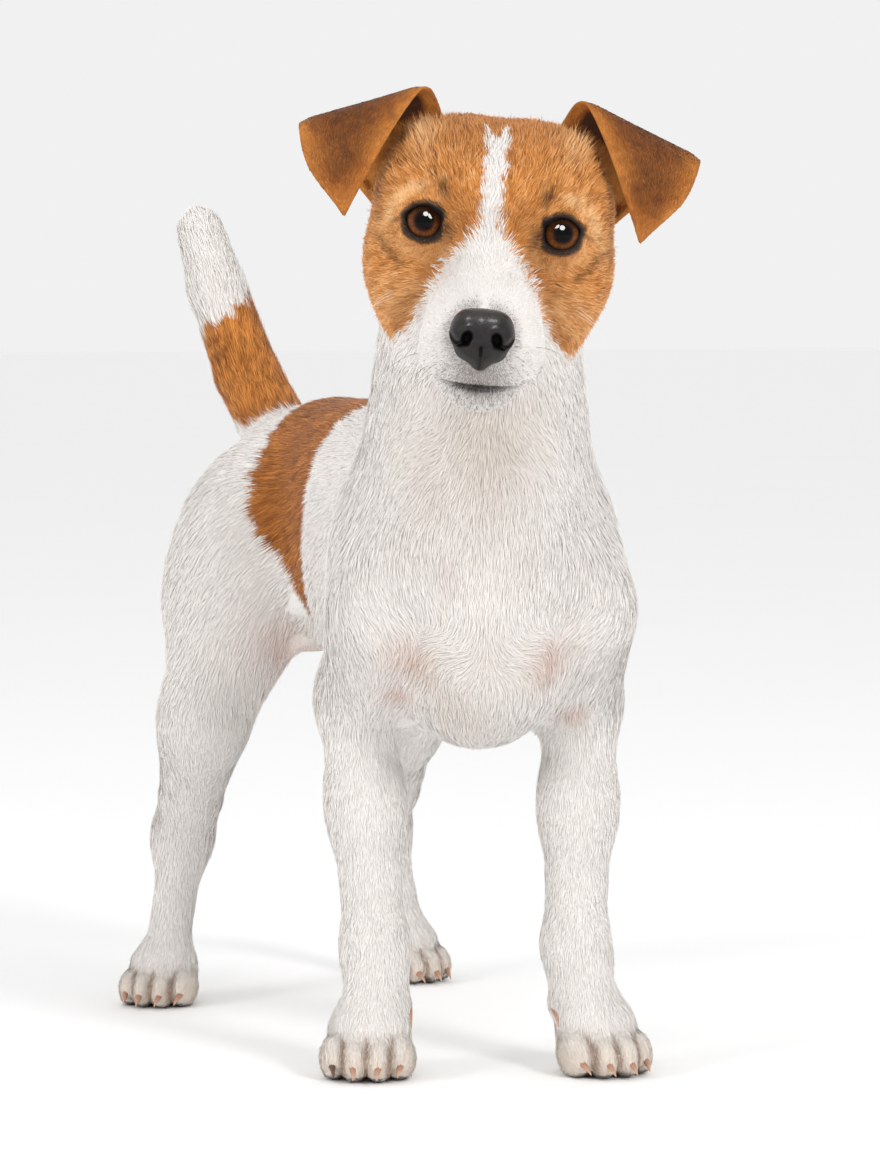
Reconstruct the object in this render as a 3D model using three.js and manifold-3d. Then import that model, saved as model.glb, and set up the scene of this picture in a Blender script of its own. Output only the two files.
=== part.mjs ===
// A standing short-coated terrier, life size, in millimetres with +Z up.
// The dog faces -Y with its left side towards +X, and its head is turned a little to its right.
// Its body is one smooth field of muscle and bone masses, which is surfaced in blocks and parted with
// thin cuts, so that each part of the body is a closed solid of its own.

import * as THREE from 'three';
import { mergeVertices } from 'three/addons/utils/BufferGeometryUtils.js';
import Module from 'manifold-3d';

const wasm = await Module();
wasm.setup();

// ---- driving dimensions ----

const GAP = 0.3;                       // between two parts that meet
const SPINE = { x: 1, slope: 0.27, bend: -0.00088 };   // the back's sideways curve, x = x + slope y + bend y^2

const EYES = [-39.2, -108.2, 413.2];   // middle of the two eyes
const HEAD_TURN = -22;                 // degrees about the vertical, towards the dog's right
const HEAD_TILT = 5.3;                 // degrees about the line of sight, left side down
const HEAD_PITCH = 18;                 // degrees, nose down
const EYE = { side: 31.5, depth: 3.5, radius: 10.8 };

const TOE = { width: 7.8, length: 13.5, height: 11.4, rise: 10.2 };   // half-axes, and its middle above the floor
const CLAW = { length: 14, radius: 2.8, rise: 8.8, drop: 0.52 };
const DEWCLAW = { side: 16, back: 13, height: 32 };

const NOSE = { at: [-0.6, -62.4, -33], size: [15, 11.5, 14] };        // in the skull's frame
const MOUTH = { at: [0, -60, -56], back: 52, slope: 9 };
const EAR_THICKNESS = 3;

// ---- colours ----

const WHITE = new THREE.MeshStandardMaterial({ color: 0xe9e4dc, roughness: 0.9, metalness: 0 });
const TAN = new THREE.MeshStandardMaterial({ color: 0xa8622c, roughness: 0.85, metalness: 0 });
const LEATHER = new THREE.MeshStandardMaterial({ color: 0x2b2726, roughness: 0.4, metalness: 0 });
const IRIS = new THREE.MeshStandardMaterial({ color: 0x2a1610, roughness: 0.05, metalness: 0 });
const HORN = new THREE.MeshStandardMaterial({ color: 0xb98d76, roughness: 0.45, metalness: 0 });

// ---- field pieces: each gives the signed distance of a point to its surface ----

// A cone with round ends, from a to b.
function limb(a, b, ra, rb) {
  const ab = [b[0] - a[0], b[1] - a[1], b[2] - a[2]];
  const length2 = ab[0] ** 2 + ab[1] ** 2 + ab[2] ** 2;
  return (x, y, z) => {
    const p = [x - a[0], y - a[1], z - a[2]];
    const t = THREE.MathUtils.clamp((p[0] * ab[0] + p[1] * ab[1] + p[2] * ab[2]) / length2, 0, 1);
    return Math.hypot(p[0] - t * ab[0], p[1] - t * ab[1], p[2] - t * ab[2]) - (ra + t * (rb - ra));
  };
}

// An ellipsoid with half-axes r, turned about the vertical and pitched about its own cross axis, in degrees.
function mass(c, r, turn = 0, pitch = 0) {
  const [ct, st] = [Math.cos(THREE.MathUtils.degToRad(turn)), Math.sin(THREE.MathUtils.degToRad(turn))];
  const [cp, sp] = [Math.cos(THREE.MathUtils.degToRad(pitch)), Math.sin(THREE.MathUtils.degToRad(pitch))];
  return (x, y, z) => {
    const [dx, dy, dz] = [x - c[0], y - c[1], z - c[2]];
    const u = dx * ct + dy * st;
    const v0 = -dx * st + dy * ct;
    const v = v0 * cp + dz * sp;
    const w = -v0 * sp + dz * cp;
    const k0 = Math.hypot(u / r[0], v / r[1], w / r[2]);
    const k1 = Math.hypot(u / r[0] ** 2, v / r[1] ** 2, w / r[2] ** 2);
    return k1 > 1e-9 ? k0 * (k0 - 1) / k1 : -Math.min(...r);
  };
}

function smoothMin(a, b, k) {
  const h = Math.max(k - Math.abs(a - b), 0) / k;
  return Math.min(a, b) - h * h * k / 4;
}

// Several pieces melted into each other over a width k.
function blend(k, ...pieces) {
  return (x, y, z) => pieces.reduce((d, piece) => smoothMin(d, piece(x, y, z), k), 1e3);
}

// A piece with softly edged hollows pressed into it.
function hollow(k, piece, ...dents) {
  return (x, y, z) => dents.reduce((d, dent) => -smoothMin(-d, dent(x, y, z), k), piece(x, y, z));
}

function bothSides(make) {
  return [-1, 1].flatMap((side) => make(side));
}

// ---- the trunk ----

// A point of the body s to the left of the bent spine, y along the dog and z up.
function body(s, y, z) {
  const slope = SPINE.slope + 2 * SPINE.bend * y;
  const c = 1 / Math.hypot(1, slope);
  return [SPINE.x + SPINE.slope * y + SPINE.bend * y * y + s * c, y - s * slope * c, z];
}

function turnAt(y) {
  return -THREE.MathUtils.radToDeg(Math.atan(SPINE.slope + 2 * SPINE.bend * y));
}

const trunk = blend(26,
  mass(body(0, 96, 245), [58, 104, 81], turnAt(96), -3),             // rib cage
  mass(body(0, 10, 230), [50, 62, 62], turnAt(10)),                  // forechest
  mass(body(0, -18, 214), [26, 34, 34], turnAt(0)),                  // breastbone
  mass(body(0, 22, 190), [30, 44, 28], turnAt(20)),                  // brisket
  limb(body(0, 30, 286), body(0, 230, 290), 34, 38),                 // back
  mass(body(0, 184, 250), [48, 82, 70], turnAt(184)),                // loin and belly
  mass(body(0, 262, 272), [50, 58, 50], turnAt(262)),                // croup
  ...bothSides((side) => [
    limb(body(14 * side, 52, 302), body(46 * side, -4, 236), 24, 27),      // shoulder blade
    mass(body(50 * side, 32, 226), [23, 40, 50], turnAt(30)),              // upper arm
    mass(body(33 * side, 272, 246), [34, 56, 48], turnAt(272)),            // rump
    mass(body(50 * side, 272, 212), [29, 50, 50], turnAt(272), 8),         // thigh
  ]),
);

// ---- the neck ----

const neck = blend(24,
  limb([3, 14, 280], [-22, -54, 392], 62, 47),
  limb([14, 48, 290], [-16, -40, 410], 32, 30),                      // nape
  limb([-6, -14, 262], [-24, -66, 352], 44, 34),                     // throat
);

// ---- the legs ----

const FORE = {
  right: { shoulder: body(-48, -6, 226), elbow: [-43, 54, 182], wrist: [-39, 42, 60], paw: [-48, 28, 0], turn: -24 },
  left: { shoulder: body(47, -6, 226), elbow: [64, 26, 180], wrist: [56, 12, 60], paw: [61, -4, 0], turn: -2 },
};
const HIND = {
  right: { hip: body(-34, 264, 262), knee: [-57, 246, 160], hock: [-51, 300, 87], paw: [-67, 289, 0], turn: -34 },
  left: { hip: body(34, 264, 262), knee: [57, 246, 160], hock: [79, 336, 84], paw: [88, 320, 0], turn: 3 },
};

function between(a, b, t) {
  return a.map((v, i) => v + (b[i] - v) * t);
}

function shifted(a, dx, dy, dz) {
  return [a[0] + dx, a[1] + dy, a[2] + dz];
}

function foreleg({ shoulder, elbow, wrist, paw }) {
  const knuckles = shifted(paw, 0, -2, 16);
  return blend(14,
    limb(shoulder, elbow, 26, 20),
    limb(shifted(elbow, 0, 8, 2), shifted(elbow, 0, 11, 12), 14, 15),        // point of the elbow
    limb(elbow, between(elbow, wrist, 0.45), 20.5, 18.5),                    // forearm muscle
    limb(between(elbow, wrist, 0.4), wrist, 18.5, 15.5),
    limb(wrist, knuckles, 16, 15),
  );
}

function hindLeg({ hip, knee, hock, paw }) {
  const knuckles = shifted(paw, 0, -2, 14);
  return blend(20,
    limb(hip, knee, 36, 21),
    limb(between(hip, knee, 0.15), between(knee, hock, 0.2), 34, 18),        // back of the thigh
    limb(knee, between(knee, hock, 0.6), 20.5, 13),
    limb(between(knee, hock, 0.5), hock, 13.5, 11.5),
    limb(between(knee, hock, 0.72), shifted(hock, 0, 8, 6), 8, 9),           // heel cord and point of the hock
    limb(hock, knuckles, 13, 12.5),
  );
}

// Where a paw's own point lands on the dog: x across, y back from the paw's middle, z up.
function pawPoint({ paw, turn }, x, y, z) {
  const a = THREE.MathUtils.degToRad(turn);
  return [paw[0] + x * Math.cos(a) - y * Math.sin(a), paw[1] + x * Math.sin(a) + y * Math.cos(a), z];
}

const TOE_SPLAY = 0.008;                // radians for each millimetre that a toe lies off the paw's middle
const TOES = [
  { x: -17, y: -9 }, { x: -6.2, y: -17 }, { x: 6.2, y: -17 }, { x: 17, y: -9 },
];

function paw(leg, size, dewSide = 0) {
  const at = (x, y, z) => pawPoint(leg, x * size, y * size, z * size);
  return blend(6,
    limb(at(0, 4, 16), at(0, -6, 13), 15 * size, 13 * size),
    limb(at(-8, 2, 22), at(8, 2, 22), 12.5 * size, 12.5 * size),
    limb(at(-9, 9, 6), at(9, 9, 6), 8.5 * size, 8.5 * size),
    ...(dewSide ? [limb(pawPoint(leg, dewSide * (DEWCLAW.side - 8), DEWCLAW.back, DEWCLAW.height + 8),
      pawPoint(leg, dewSide * (DEWCLAW.side - 1), DEWCLAW.back - 1, DEWCLAW.height), 8, 6)] : []),
    limb(at(-11, 0, 9), at(11, 0, 9), 10 * size, 10 * size),
  );
}

const FORE_PAW_SIZE = 0.97;
const HIND_PAW_SIZE = 0.88;

// ---- the tail ----

const TAIL = [
  { at: [5, 298, 304], radius: 21 }, { at: [-3, 330, 340], radius: 19 },
  { at: [-12, 352, 385], radius: 17.5 }, { at: [-15, 373, 418.5], radius: 14.5 },
];
const tail = blend(4, ...TAIL.slice(1).map((end, i) => limb(TAIL[i].at, end.at, TAIL[i].radius, end.radius)));

// ---- the head ----

// The face's frame: x to its left, y back along the line of sight, z up, from the middle of the eyes.
const faceFrame = new THREE.Matrix4()
  .makeTranslation(...EYES)
  .multiply(new THREE.Matrix4().makeRotationZ(THREE.MathUtils.degToRad(HEAD_TURN)))
  .multiply(new THREE.Matrix4().makeRotationY(THREE.MathUtils.degToRad(HEAD_TILT)));
// The skull's frame: the same, with y along the skull.
const skullFrame = faceFrame.clone().multiply(
  new THREE.Matrix4().makeRotationX(THREE.MathUtils.degToRad(HEAD_PITCH)));
const toSkull = skullFrame.clone().invert().elements;

function inSkull(piece) {
  return (x, y, z) => piece(
    toSkull[0] * x + toSkull[4] * y + toSkull[8] * z + toSkull[12],
    toSkull[1] * x + toSkull[5] * y + toSkull[9] * z + toSkull[13],
    toSkull[2] * x + toSkull[6] * y + toSkull[10] * z + toSkull[14],
  );
}

const SNOUT_SLOPE = 15;                // degrees, from the skull's own line
const skull = blend(11,
  mass([0, 42, 2], [44, 52, 35]),                                     // braincase
  mass([0, 8, 8], [30, 26, 23]),                                      // forehead
  limb([0, -10, -11], [0, -56, -31], 13, 11),                         // bridge of the nose
  mass([0, -26, -38], [27, 42, 22], 0, SNOUT_SLOPE),                  // muzzle
  mass([0, -18, -53], [22, 36, 15], 0, SNOUT_SLOPE),                  // lower jaw
  mass([0, -44, -60], [15, 13, 12]),                                  // chin
  mass([0, 26, -36], [34, 40, 24]),                                   // throat latch
  ...bothSides((side) => [
    mass([18 * side, 40, 6], [26, 44, 31]),                           // dome of the crown
    mass([20 * side, 6, 14], [12, 9, 8]),                             // brow
    mass([33 * side, 32, -26], [26, 33, 36]),                         // cheek
    mass([29 * side, 32, 4], [26, 33, 25]),                           // temple
    mass([13 * side, -46, -44], [15, 18, 14], 0, SNOUT_SLOPE),        // lip
  ]),
);
const sockets = bothSides((side) => [mass([35 * side, -14, -1], [10, 11, 9])]);
const head = inSkull(hollow(6, skull, ...sockets));

// ---- the whole body ----

const legs = [
  ...Object.values(FORE).flatMap((leg) => [foreleg(leg), paw(leg, FORE_PAW_SIZE, -Math.sign(leg.paw[0]))]),
  ...Object.values(HIND).flatMap((leg) => [hindLeg(leg), paw(leg, HIND_PAW_SIZE)]),
];
const dogField = blend(14, blend(30, trunk, neck), tail, head, ...legs);

// ---- surfacing ----

// The surface of a field inside a box, as a manifold solid. Its grid is nudged until no edge is shared twice.
function surface(field, low, high, cell) {
  for (let nudge = 0; nudge < 1; nudge += 0.13) {
    const { points, faces } = net(field, low.map((v, i) => v - nudge * cell[i]), high, cell);
    const shared = new Map();
    faces.forEach((a, i) => {
      const b = faces[i % 3 === 2 ? i - 2 : i + 1];
      const key = Math.min(a, b) * points.length + Math.max(a, b);
      shared.set(key, (shared.get(key) ?? 0) + 1);
    });
    if ([...shared.values()].every((count) => count === 2)) {
      return new wasm.Manifold(new wasm.Mesh({
        numProp: 3, vertProperties: new Float32Array(points), triVerts: new Uint32Array(faces),
      }));
    }
  }
  throw new Error('the cells are too large for this surface');
}

// The same surface as points and triangles, with one point in each cell that it crosses.
function net(field, low, high, cell) {
  const n = low.map((v, i) => Math.ceil((high[i] - v) / cell[i]) + 1);
  const id = (i, j, k) => (k * n[1] + j) * n[0] + i;
  const value = new Float32Array(n[0] * n[1] * n[2]);
  for (let k = 0; k < n[2]; k++) for (let j = 0; j < n[1]; j++) for (let i = 0; i < n[0]; i++) {
    const edge = i === 0 || j === 0 || k === 0 || i === n[0] - 1 || j === n[1] - 1 || k === n[2] - 1;
    const d = field(low[0] + i * cell[0], low[1] + j * cell[1], low[2] + k * cell[2]);
    value[id(i, j, k)] = edge ? Math.max(Math.abs(d), 0.1) : (d === 0 ? 1e-4 : d);
  }
  const vertexOf = new Map();
  const points = [];
  const corners = [0, 1, 2, 3, 4, 5, 6, 7].map((c) => [c & 1, (c >> 1) & 1, c >> 2]);
  const sides = corners.flatMap((a, ia) => corners.map((b, ib) => [ia, ib])
    .filter(([, ib]) => ib > ia && corners[ib].reduce((s, v, m) => s + Math.abs(v - a[m]), 0) === 1));
  for (let k = 0; k < n[2] - 1; k++) for (let j = 0; j < n[1] - 1; j++) for (let i = 0; i < n[0] - 1; i++) {
    const v = corners.map(([a, b, c]) => value[id(i + a, j + b, k + c)]);
    const crossed = sides.filter(([a, b]) => (v[a] < 0) !== (v[b] < 0));
    if (!crossed.length) continue;
    const sum = [0, 0, 0];
    for (const [a, b] of crossed) {
      const t = v[a] / (v[a] - v[b]);
      for (let m = 0; m < 3; m++) sum[m] += corners[a][m] + t * (corners[b][m] - corners[a][m]);
    }
    const p = sum.map((s, m) => low[m] + ([i, j, k][m] + s / crossed.length) * cell[m]);
    settle(field, p, Math.min(...cell));
    vertexOf.set(id(i, j, k), points.length / 3);
    points.push(...p);
  }
  const faces = [];
  const steps = [[1, 0, 0], [0, 1, 0], [0, 0, 1]];
  for (let k = 0; k < n[2] - 1; k++) for (let j = 0; j < n[1] - 1; j++) for (let i = 0; i < n[0] - 1; i++) {
    steps.forEach((s, axis) => {
      const inside = value[id(i, j, k)] < 0;
      if (inside === value[id(i + s[0], j + s[1], k + s[2])] < 0) return;
      const [u, w] = [steps[(axis + 1) % 3], steps[(axis + 2) % 3]];
      const ring = [[0, 0], [1, 0], [1, 1], [0, 1]].map(([a, b]) =>
        vertexOf.get(id(i - a * u[0] - b * w[0], j - a * u[1] - b * w[1], k - a * u[2] - b * w[2])));
      if (!inside) ring.reverse();
      faces.push(ring[0], ring[1], ring[2], ring[0], ring[2], ring[3]);
    });
  }
  return { points, faces };
}

// Moves a point onto the field's surface, by less than half a cell.
function settle(field, p, cell) {
  const h = 0.05;
  for (let turn = 0; turn < 3; turn++) {
    const d = field(...p);
    if (Math.abs(d) > cell) return;
    const g = [0, 1, 2].map((m) => {
      const q = [...p];
      q[m] += h;
      return (field(...q) - d) / h;
    });
    const g2 = Math.max(g[0] ** 2 + g[1] ** 2 + g[2] ** 2, 0.2);
    const step = THREE.MathUtils.clamp(d / g2, -cell / 4, cell / 4);
    for (let m = 0; m < 3; m++) p[m] -= step * g[m];
  }
}

// ---- cutting ----

function solidOf(geometry) {
  const g = geometry.clone();
  g.deleteAttribute('normal');
  g.deleteAttribute('uv');
  const merged = mergeVertices(g, 1e-4);
  const build = (index) => new wasm.Manifold(new wasm.Mesh({
    numProp: 3, vertProperties: merged.attributes.position.array, triVerts: new Uint32Array(index),
  }));
  const solid = build(merged.index.array);
  return solid.volume() > 0 ? solid : build([...merged.index.array].reverse());
}

// A box from low to high.
function block(low, high) {
  const g = new THREE.BoxGeometry(...low.map((v, i) => high[i] - v));
  return solidOf(g.translate(...low.map((v, i) => (v + high[i]) / 2)));
}

// Everything on the far side of a plane through p with this normal, moved along the normal by offset.
function beyond(p, normal, offset) {
  const size = 700;
  const g = new THREE.BoxGeometry(size, size, size).translate(0, 0, size / 2 + offset);
  const turn = new THREE.Quaternion().setFromUnitVectors(
    new THREE.Vector3(0, 0, 1), new THREE.Vector3(...normal).normalize());
  g.applyQuaternion(turn).translate(...p);
  return solidOf(g);
}

const HALF = GAP / 2;
const above = (p, normal) => beyond(p, normal, HALF);
const below = (p, normal) => beyond(p, normal.map((v) => -v), HALF);

function skullPoint(x, y, z) {
  return new THREE.Vector3(x, y, z).applyMatrix4(skullFrame).toArray();
}

function skullDirection(x, y, z) {
  return new THREE.Vector3(x, y, z).transformDirection(skullFrame).toArray();
}

const CUTS = {
  nape: { at: skullPoint(0, 50, -18), normal: skullDirection(0, -0.8, 0.6) },  // neck to head
  collar: { at: [2, 4, 292], normal: [-0.16, -0.55, 0.82] },                   // trunk to neck
  waist: { at: [0, 152, 0], normal: [0, 1, 0] },                               // chest to loin
  dock: { at: [3, 306, 322], normal: [-0.05, 0.62, 0.78] },                    // trunk to tail
};
const ELBOW_Z = 164;
const KNEE_Z = 156;
const WRIST_Z = 50;
const HOCK_Z = 97;
const FOOT_Z = 32;
const SHOULDER = { s: 78, y: 30, z: 205, width: 42, length: 54, rise: 66 };
const THIGH = { s: 68, y: 270, z: 238, width: 46, length: 66, rise: 62 };

// The space that holds the upper arm or the thigh of one side: a dome that goes straight down to the floor.
function muscleSpace({ s, y, z, width, length, rise }, side, grow) {
  const g = new THREE.SphereGeometry(1, 14, 6).rotateX(Math.PI / 2);
  const position = g.attributes.position;
  for (let i = 0; i < position.count; i++) {
    position.setZ(i, position.getZ(i) * (position.getZ(i) > 0 ? rise + grow : z * 3));
  }
  g.scale(width + grow, length + grow, 1).rotateZ(THREE.MathUtils.degToRad(turnAt(y)));
  return solidOf(g.translate(...body(s * side, y, z)));
}

// ---- the parts ----

const dog = new THREE.Group();

const WELD = 0.02;                     // corners closer than this are one

function add(name, solid, material) {
  const mesh = solid.getMesh();
  const cut = new THREE.BufferGeometry();
  cut.setAttribute('position', new THREE.BufferAttribute(new Float32Array(mesh.vertProperties), 3));
  cut.setIndex(new THREE.BufferAttribute(new Uint32Array(mesh.triVerts), 1));
  const g = mergeVertices(cut, WELD);
  const index = [...g.index.array];
  const kept = [];
  for (let i = 0; i < index.length; i += 3) {
    const [a, b, c] = index.slice(i, i + 3);
    if (a !== b && b !== c && c !== a) kept.push(a, b, c);
  }
  g.setIndex(kept);
  g.computeVertexNormals();
  const part = new THREE.Mesh(g, material);
  part.name = name;
  dog.add(part);
}

// ---- eyes and nose ----

function eyeball(side, grow, detail) {
  const g = new THREE.SphereGeometry(EYE.radius + grow, detail, detail / 2).rotateX(Math.PI / 2);
  return solidOf(g.translate(side * EYE.side, EYE.depth, 0).applyMatrix4(faceFrame));
}

function noseLeather(grow) {
  const g = new THREE.SphereGeometry(1, 12, 8).scale(...NOSE.size.map((v) => v + grow));
  return solidOf(g.translate(...NOSE.at).applyMatrix4(skullFrame));
}

// ---- ears: a thin flap that rises from the skull, folds over and hangs forward ----

// Three ribs in the face's frame, each from root over the fold to the tip.
const EAR_RIBS = [
  [[24, 38, 40], [29.5, 36.5, 54], [34, 32, 61.5], [39.5, 25, 60], [51, 15, 39], [68, 5, 0]],
  [[44, 50, 30], [54, 48, 42], [60, 39, 51], [67, 25, 49], [71.5, 13, 29], [68.5, 4, -0.5]],
  [[56, 44, 6], [75, 48, 25], [89, 39, 38], [93.5, 25, 39], [87, 12, 20], [69, 5, 0]],
];

function earPoint(across, along) {
  const [a, b, c] = EAR_RIBS.map((rib) => new THREE.CatmullRomCurve3(
    rib.map((p) => new THREE.Vector3(...p)), false, 'catmullrom', 0.45).getPoint(along));
  const control = b.multiplyScalar(2).addScaledVector(a, -0.5).addScaledVector(c, -0.5);
  return new THREE.QuadraticBezierCurve3(a, control, c).getPoint(across);
}

function earFlap(side, grow) {
  const g = new THREE.SphereGeometry(1, 14, 8);
  const position = g.attributes.position;
  const step = 0.02;
  const low = (v) => Math.max(v - step, 0);
  const high = (v) => Math.min(v + step, 1);
  for (let i = 0; i < position.count; i++) {
    const [x, y, z] = [position.getX(i), position.getY(i), position.getZ(i)];
    // The ball is squared off to fill the flap from edge to edge, and its third axis is the thickness.
    const square = Math.hypot(x, y) / Math.max(Math.abs(x), Math.abs(y), 1e-6);
    const spread = (v) => 0.5 + THREE.MathUtils.clamp(v * (1 + 0.85 * (square - 1)), -1, 1) / 2;
    const [across, along] = [spread(x), spread(-y)];
    const u = earPoint(high(across), along).sub(earPoint(low(across), along));
    const v = earPoint(across, high(along)).sub(earPoint(across, low(along)));
    const out = u.clone().cross(v).normalize();
    const rim = u.normalize().multiplyScalar(x * grow);
    const p = earPoint(across, along).addScaledVector(out, z * (EAR_THICKNESS / 2 + grow)).add(rim);
    position.setXYZ(i, side * p.x, p.y, p.z);
  }
  return solidOf(g.applyMatrix4(faceFrame));
}

// ---- claws: bent cones on the toes, and one on the inner side of each foreleg ----

function claw({ root, heading, drop }, grow) {
  const { length, radius } = CLAW;
  const g = new THREE.ConeGeometry(radius + grow, length + grow, 5, 2).translate(0, length / 2, 0);
  const position = g.attributes.position;
  for (let i = 0; i < position.count; i++) {
    const t = position.getY(i) / length;
    position.setZ(i, position.getZ(i) - drop * t * t * length);
  }
  return solidOf(g.rotateZ(heading).translate(...root));
}

// A toe as a closed form, to stand out crisply from the paw.
function toe(leg, { x, y }, size) {
  const half = [TOE.width, TOE.length, TOE.height].map((v) => v * size);
  const g = new THREE.SphereGeometry(1, 6, 5).rotateX(Math.PI / 2).scale(...half)
    .rotateX(THREE.MathUtils.degToRad(10)).rotateZ(THREE.MathUtils.degToRad(leg.turn) - x * TOE_SPLAY);
  return solidOf(g.translate(...pawPoint(leg, x * size, (y - 2) * size, TOE.rise * size)));
}

function clawsOf(leg, side, size, withDewclaw) {
  const forward = THREE.MathUtils.degToRad(leg.turn) + Math.PI;
  const claws = TOES.map(({ x, y }) => ({
    root: pawPoint(leg, x * 1.03 * size, (y - 10.5) * size, CLAW.rise * size), heading: forward - x * TOE_SPLAY,
    drop: CLAW.drop,
  }));
  if (withDewclaw) {
    claws.push({
      root: pawPoint(leg, -side * (DEWCLAW.side + 3), DEWCLAW.back - 3, DEWCLAW.height - 1),
      heading: forward - side * 0.2, drop: 0.8,
    });
  }
  return claws;
}

// ---- assembling the parts ----

const CELL = {                         // spacing of the surface's points along x, y and z
  head: [12.2, 12.2, 11.8], neck: [26, 26, 27], trunk: [26, 34, 25], tail: [12, 13, 16],
  upper: [21, 22, 24], lower: [14, 14, 23], foot: [16, 16, 15.5],
};

let skullSolid = surface(dogField, [-150, -190, 305], [62, 62, 490], CELL.head)
  .intersect(above(CUTS.nape.at, CUTS.nape.normal));
for (const [name, side] of [['right', -1], ['left', 1]]) {
  skullSolid = skullSolid.subtract(eyeball(side, GAP, 12)).subtract(earFlap(side, GAP));
  add(`eye_${name}`, eyeball(side, 0, 12), IRIS);
  add(`ear_${name}`, earFlap(side, 0), TAN);
}
skullSolid = skullSolid.subtract(noseLeather(GAP));
add('nose', noseLeather(0), LEATHER);

// The mouth's line runs back from under the nose to the corner of the lips.
function jawSpace(grow) {
  const [width, ahead, depth] = [120, 40, 80];
  const g = new THREE.BoxGeometry(width, MOUTH.back + ahead, depth)
    .translate(0, (MOUTH.back - ahead) / 2 + grow, -depth / 2 + grow)
    .rotateX(THREE.MathUtils.degToRad(MOUTH.slope)).translate(...MOUTH.at);
  return solidOf(g.applyMatrix4(skullFrame));
}
add('head', skullSolid.subtract(jawSpace(GAP)), TAN);
add('lower_jaw', skullSolid.intersect(jawSpace(0)), WHITE);

add('neck', surface(dogField, [-110, -130, 230], [110, 110, 470], CELL.neck)
  .intersect(below(CUTS.nape.at, CUTS.nape.normal))
  .intersect(above(CUTS.collar.at, CUTS.collar.normal)), WHITE);

// Below the elbows and the knees, everything outside the brisket belongs to the legs.
const LOW = -5;
const BRISKET_HALF = 28;
function foreSpace(side, grow) {
  const inner = body(side * (BRISKET_HALF - grow), 30, 0)[0];
  return block([Math.min(inner, side * 200), -110, LOW], [Math.max(inner, side * 200), 120, ELBOW_Z + grow]);
}
const hindSpace = block([-200, 195, LOW], [200, 400, KNEE_Z + GAP]);
const trunkSolid = surface(dogField, [-120, -110, 130], [150, 380, 350], CELL.trunk)
  .intersect(below(CUTS.collar.at, CUTS.collar.normal))
  .intersect(below(CUTS.dock.at, CUTS.dock.normal))
  .subtract(muscleSpace(SHOULDER, -1, GAP)).subtract(muscleSpace(SHOULDER, 1, GAP))
  .subtract(muscleSpace(THIGH, -1, GAP)).subtract(muscleSpace(THIGH, 1, GAP))
  .subtract(hindSpace).subtract(foreSpace(-1, GAP)).subtract(foreSpace(1, GAP));
add('chest', trunkSolid.intersect(below(CUTS.waist.at, CUTS.waist.normal)), WHITE);
add('loin', trunkSolid.intersect(above(CUTS.waist.at, CUTS.waist.normal)), TAN);

add('tail', surface(dogField, [-60, 250, 280], [60, 420, 455], CELL.tail)
  .intersect(above(CUTS.dock.at, CUTS.dock.normal)), WHITE);

// A slice of the dog between two heights.
const slice = (bottom, top) => block([-200, -150, bottom], [200, 400, top]);

for (const [name, side] of [['right', -1], ['left', 1]]) {
  const [fore, hind] = [FORE[name], HIND[name]];
  const [fx, hx] = [fore.wrist[0], hind.hock[0]];
  add(`upper_arm_${name}`, surface(dogField, [-130, -110, 140], [150, 120, 290], CELL.upper)
    .intersect(muscleSpace(SHOULDER, side, 0)).intersect(slice(ELBOW_Z, 400)), WHITE);
  add(`forearm_${name}`, surface(dogField, [fx - 48, -50, 20], [fx + 48, 110, 190], CELL.lower)
    .intersect(slice(WRIST_Z + HALF, ELBOW_Z - GAP)).intersect(foreSpace(side, 0)), WHITE);
  add(`thigh_${name}`, surface(dogField, [-130, 180, 130], [150, 380, 310], CELL.upper)
    .intersect(muscleSpace(THIGH, side, 0)).intersect(slice(KNEE_Z, 400)), WHITE);
  const shin = surface(dogField, [hx - 50, 190, -10], [hx + 50, 390, 185], CELL.lower);
  add(`shank_${name}`, shin.intersect(slice(HOCK_Z + HALF, KNEE_Z - GAP)), WHITE);
  add(`hock_${name}`, shin.intersect(slice(FOOT_Z + HALF, HOCK_Z - HALF)), WHITE);

  for (const [kind, leg, size, top] of [
    ['fore', fore, FORE_PAW_SIZE, WRIST_Z], ['hind', hind, HIND_PAW_SIZE, FOOT_Z],
  ]) {
    const reach = 46;
    let foot = surface(dogField, [leg.paw[0] - reach, leg.paw[1] - reach, -9],
      [leg.paw[0] + reach, leg.paw[1] + reach, top + 14], CELL.foot);
    foot = TOES.reduce((solid, place) => solid.add(toe(leg, place, size)), foot).intersect(slice(0, top - HALF));
    clawsOf(leg, side, size, kind === 'fore').forEach((shape, i) => {
      foot = foot.subtract(claw(shape, GAP));
      add(`claw_${kind}_${name}_${i + 1}`, claw(shape, 0), HORN);
    });
    add(`${kind}_paw_${name}`, foot, WHITE);
  }
}

// The origin is the middle of the dog's outline, on the floor.
const outline = new THREE.Box3().setFromObject(dog);
dog.position.set(-(outline.min.x + outline.max.x) / 2, -(outline.min.y + outline.max.y) / 2, 0);

export default dog;
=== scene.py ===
"""Looks of a life-size standing terrier: one skin over the body, a coat of fine tufts, eyes, nose and claws.

Shapes are worked out in millimetres in the dog's own space: the dog faces -Y, its left side is towards +X and
the floor is at z = 0. Meshes are written in metres in the shared frame.
"""
import sys

import logging
import math
from dataclasses import dataclass, field
from enum import IntEnum
from functools import partialmethod
from typing import Callable, Iterable, Sequence

import bmesh
import bpy
import numpy as np
from mathutils import Matrix, Vector


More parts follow.
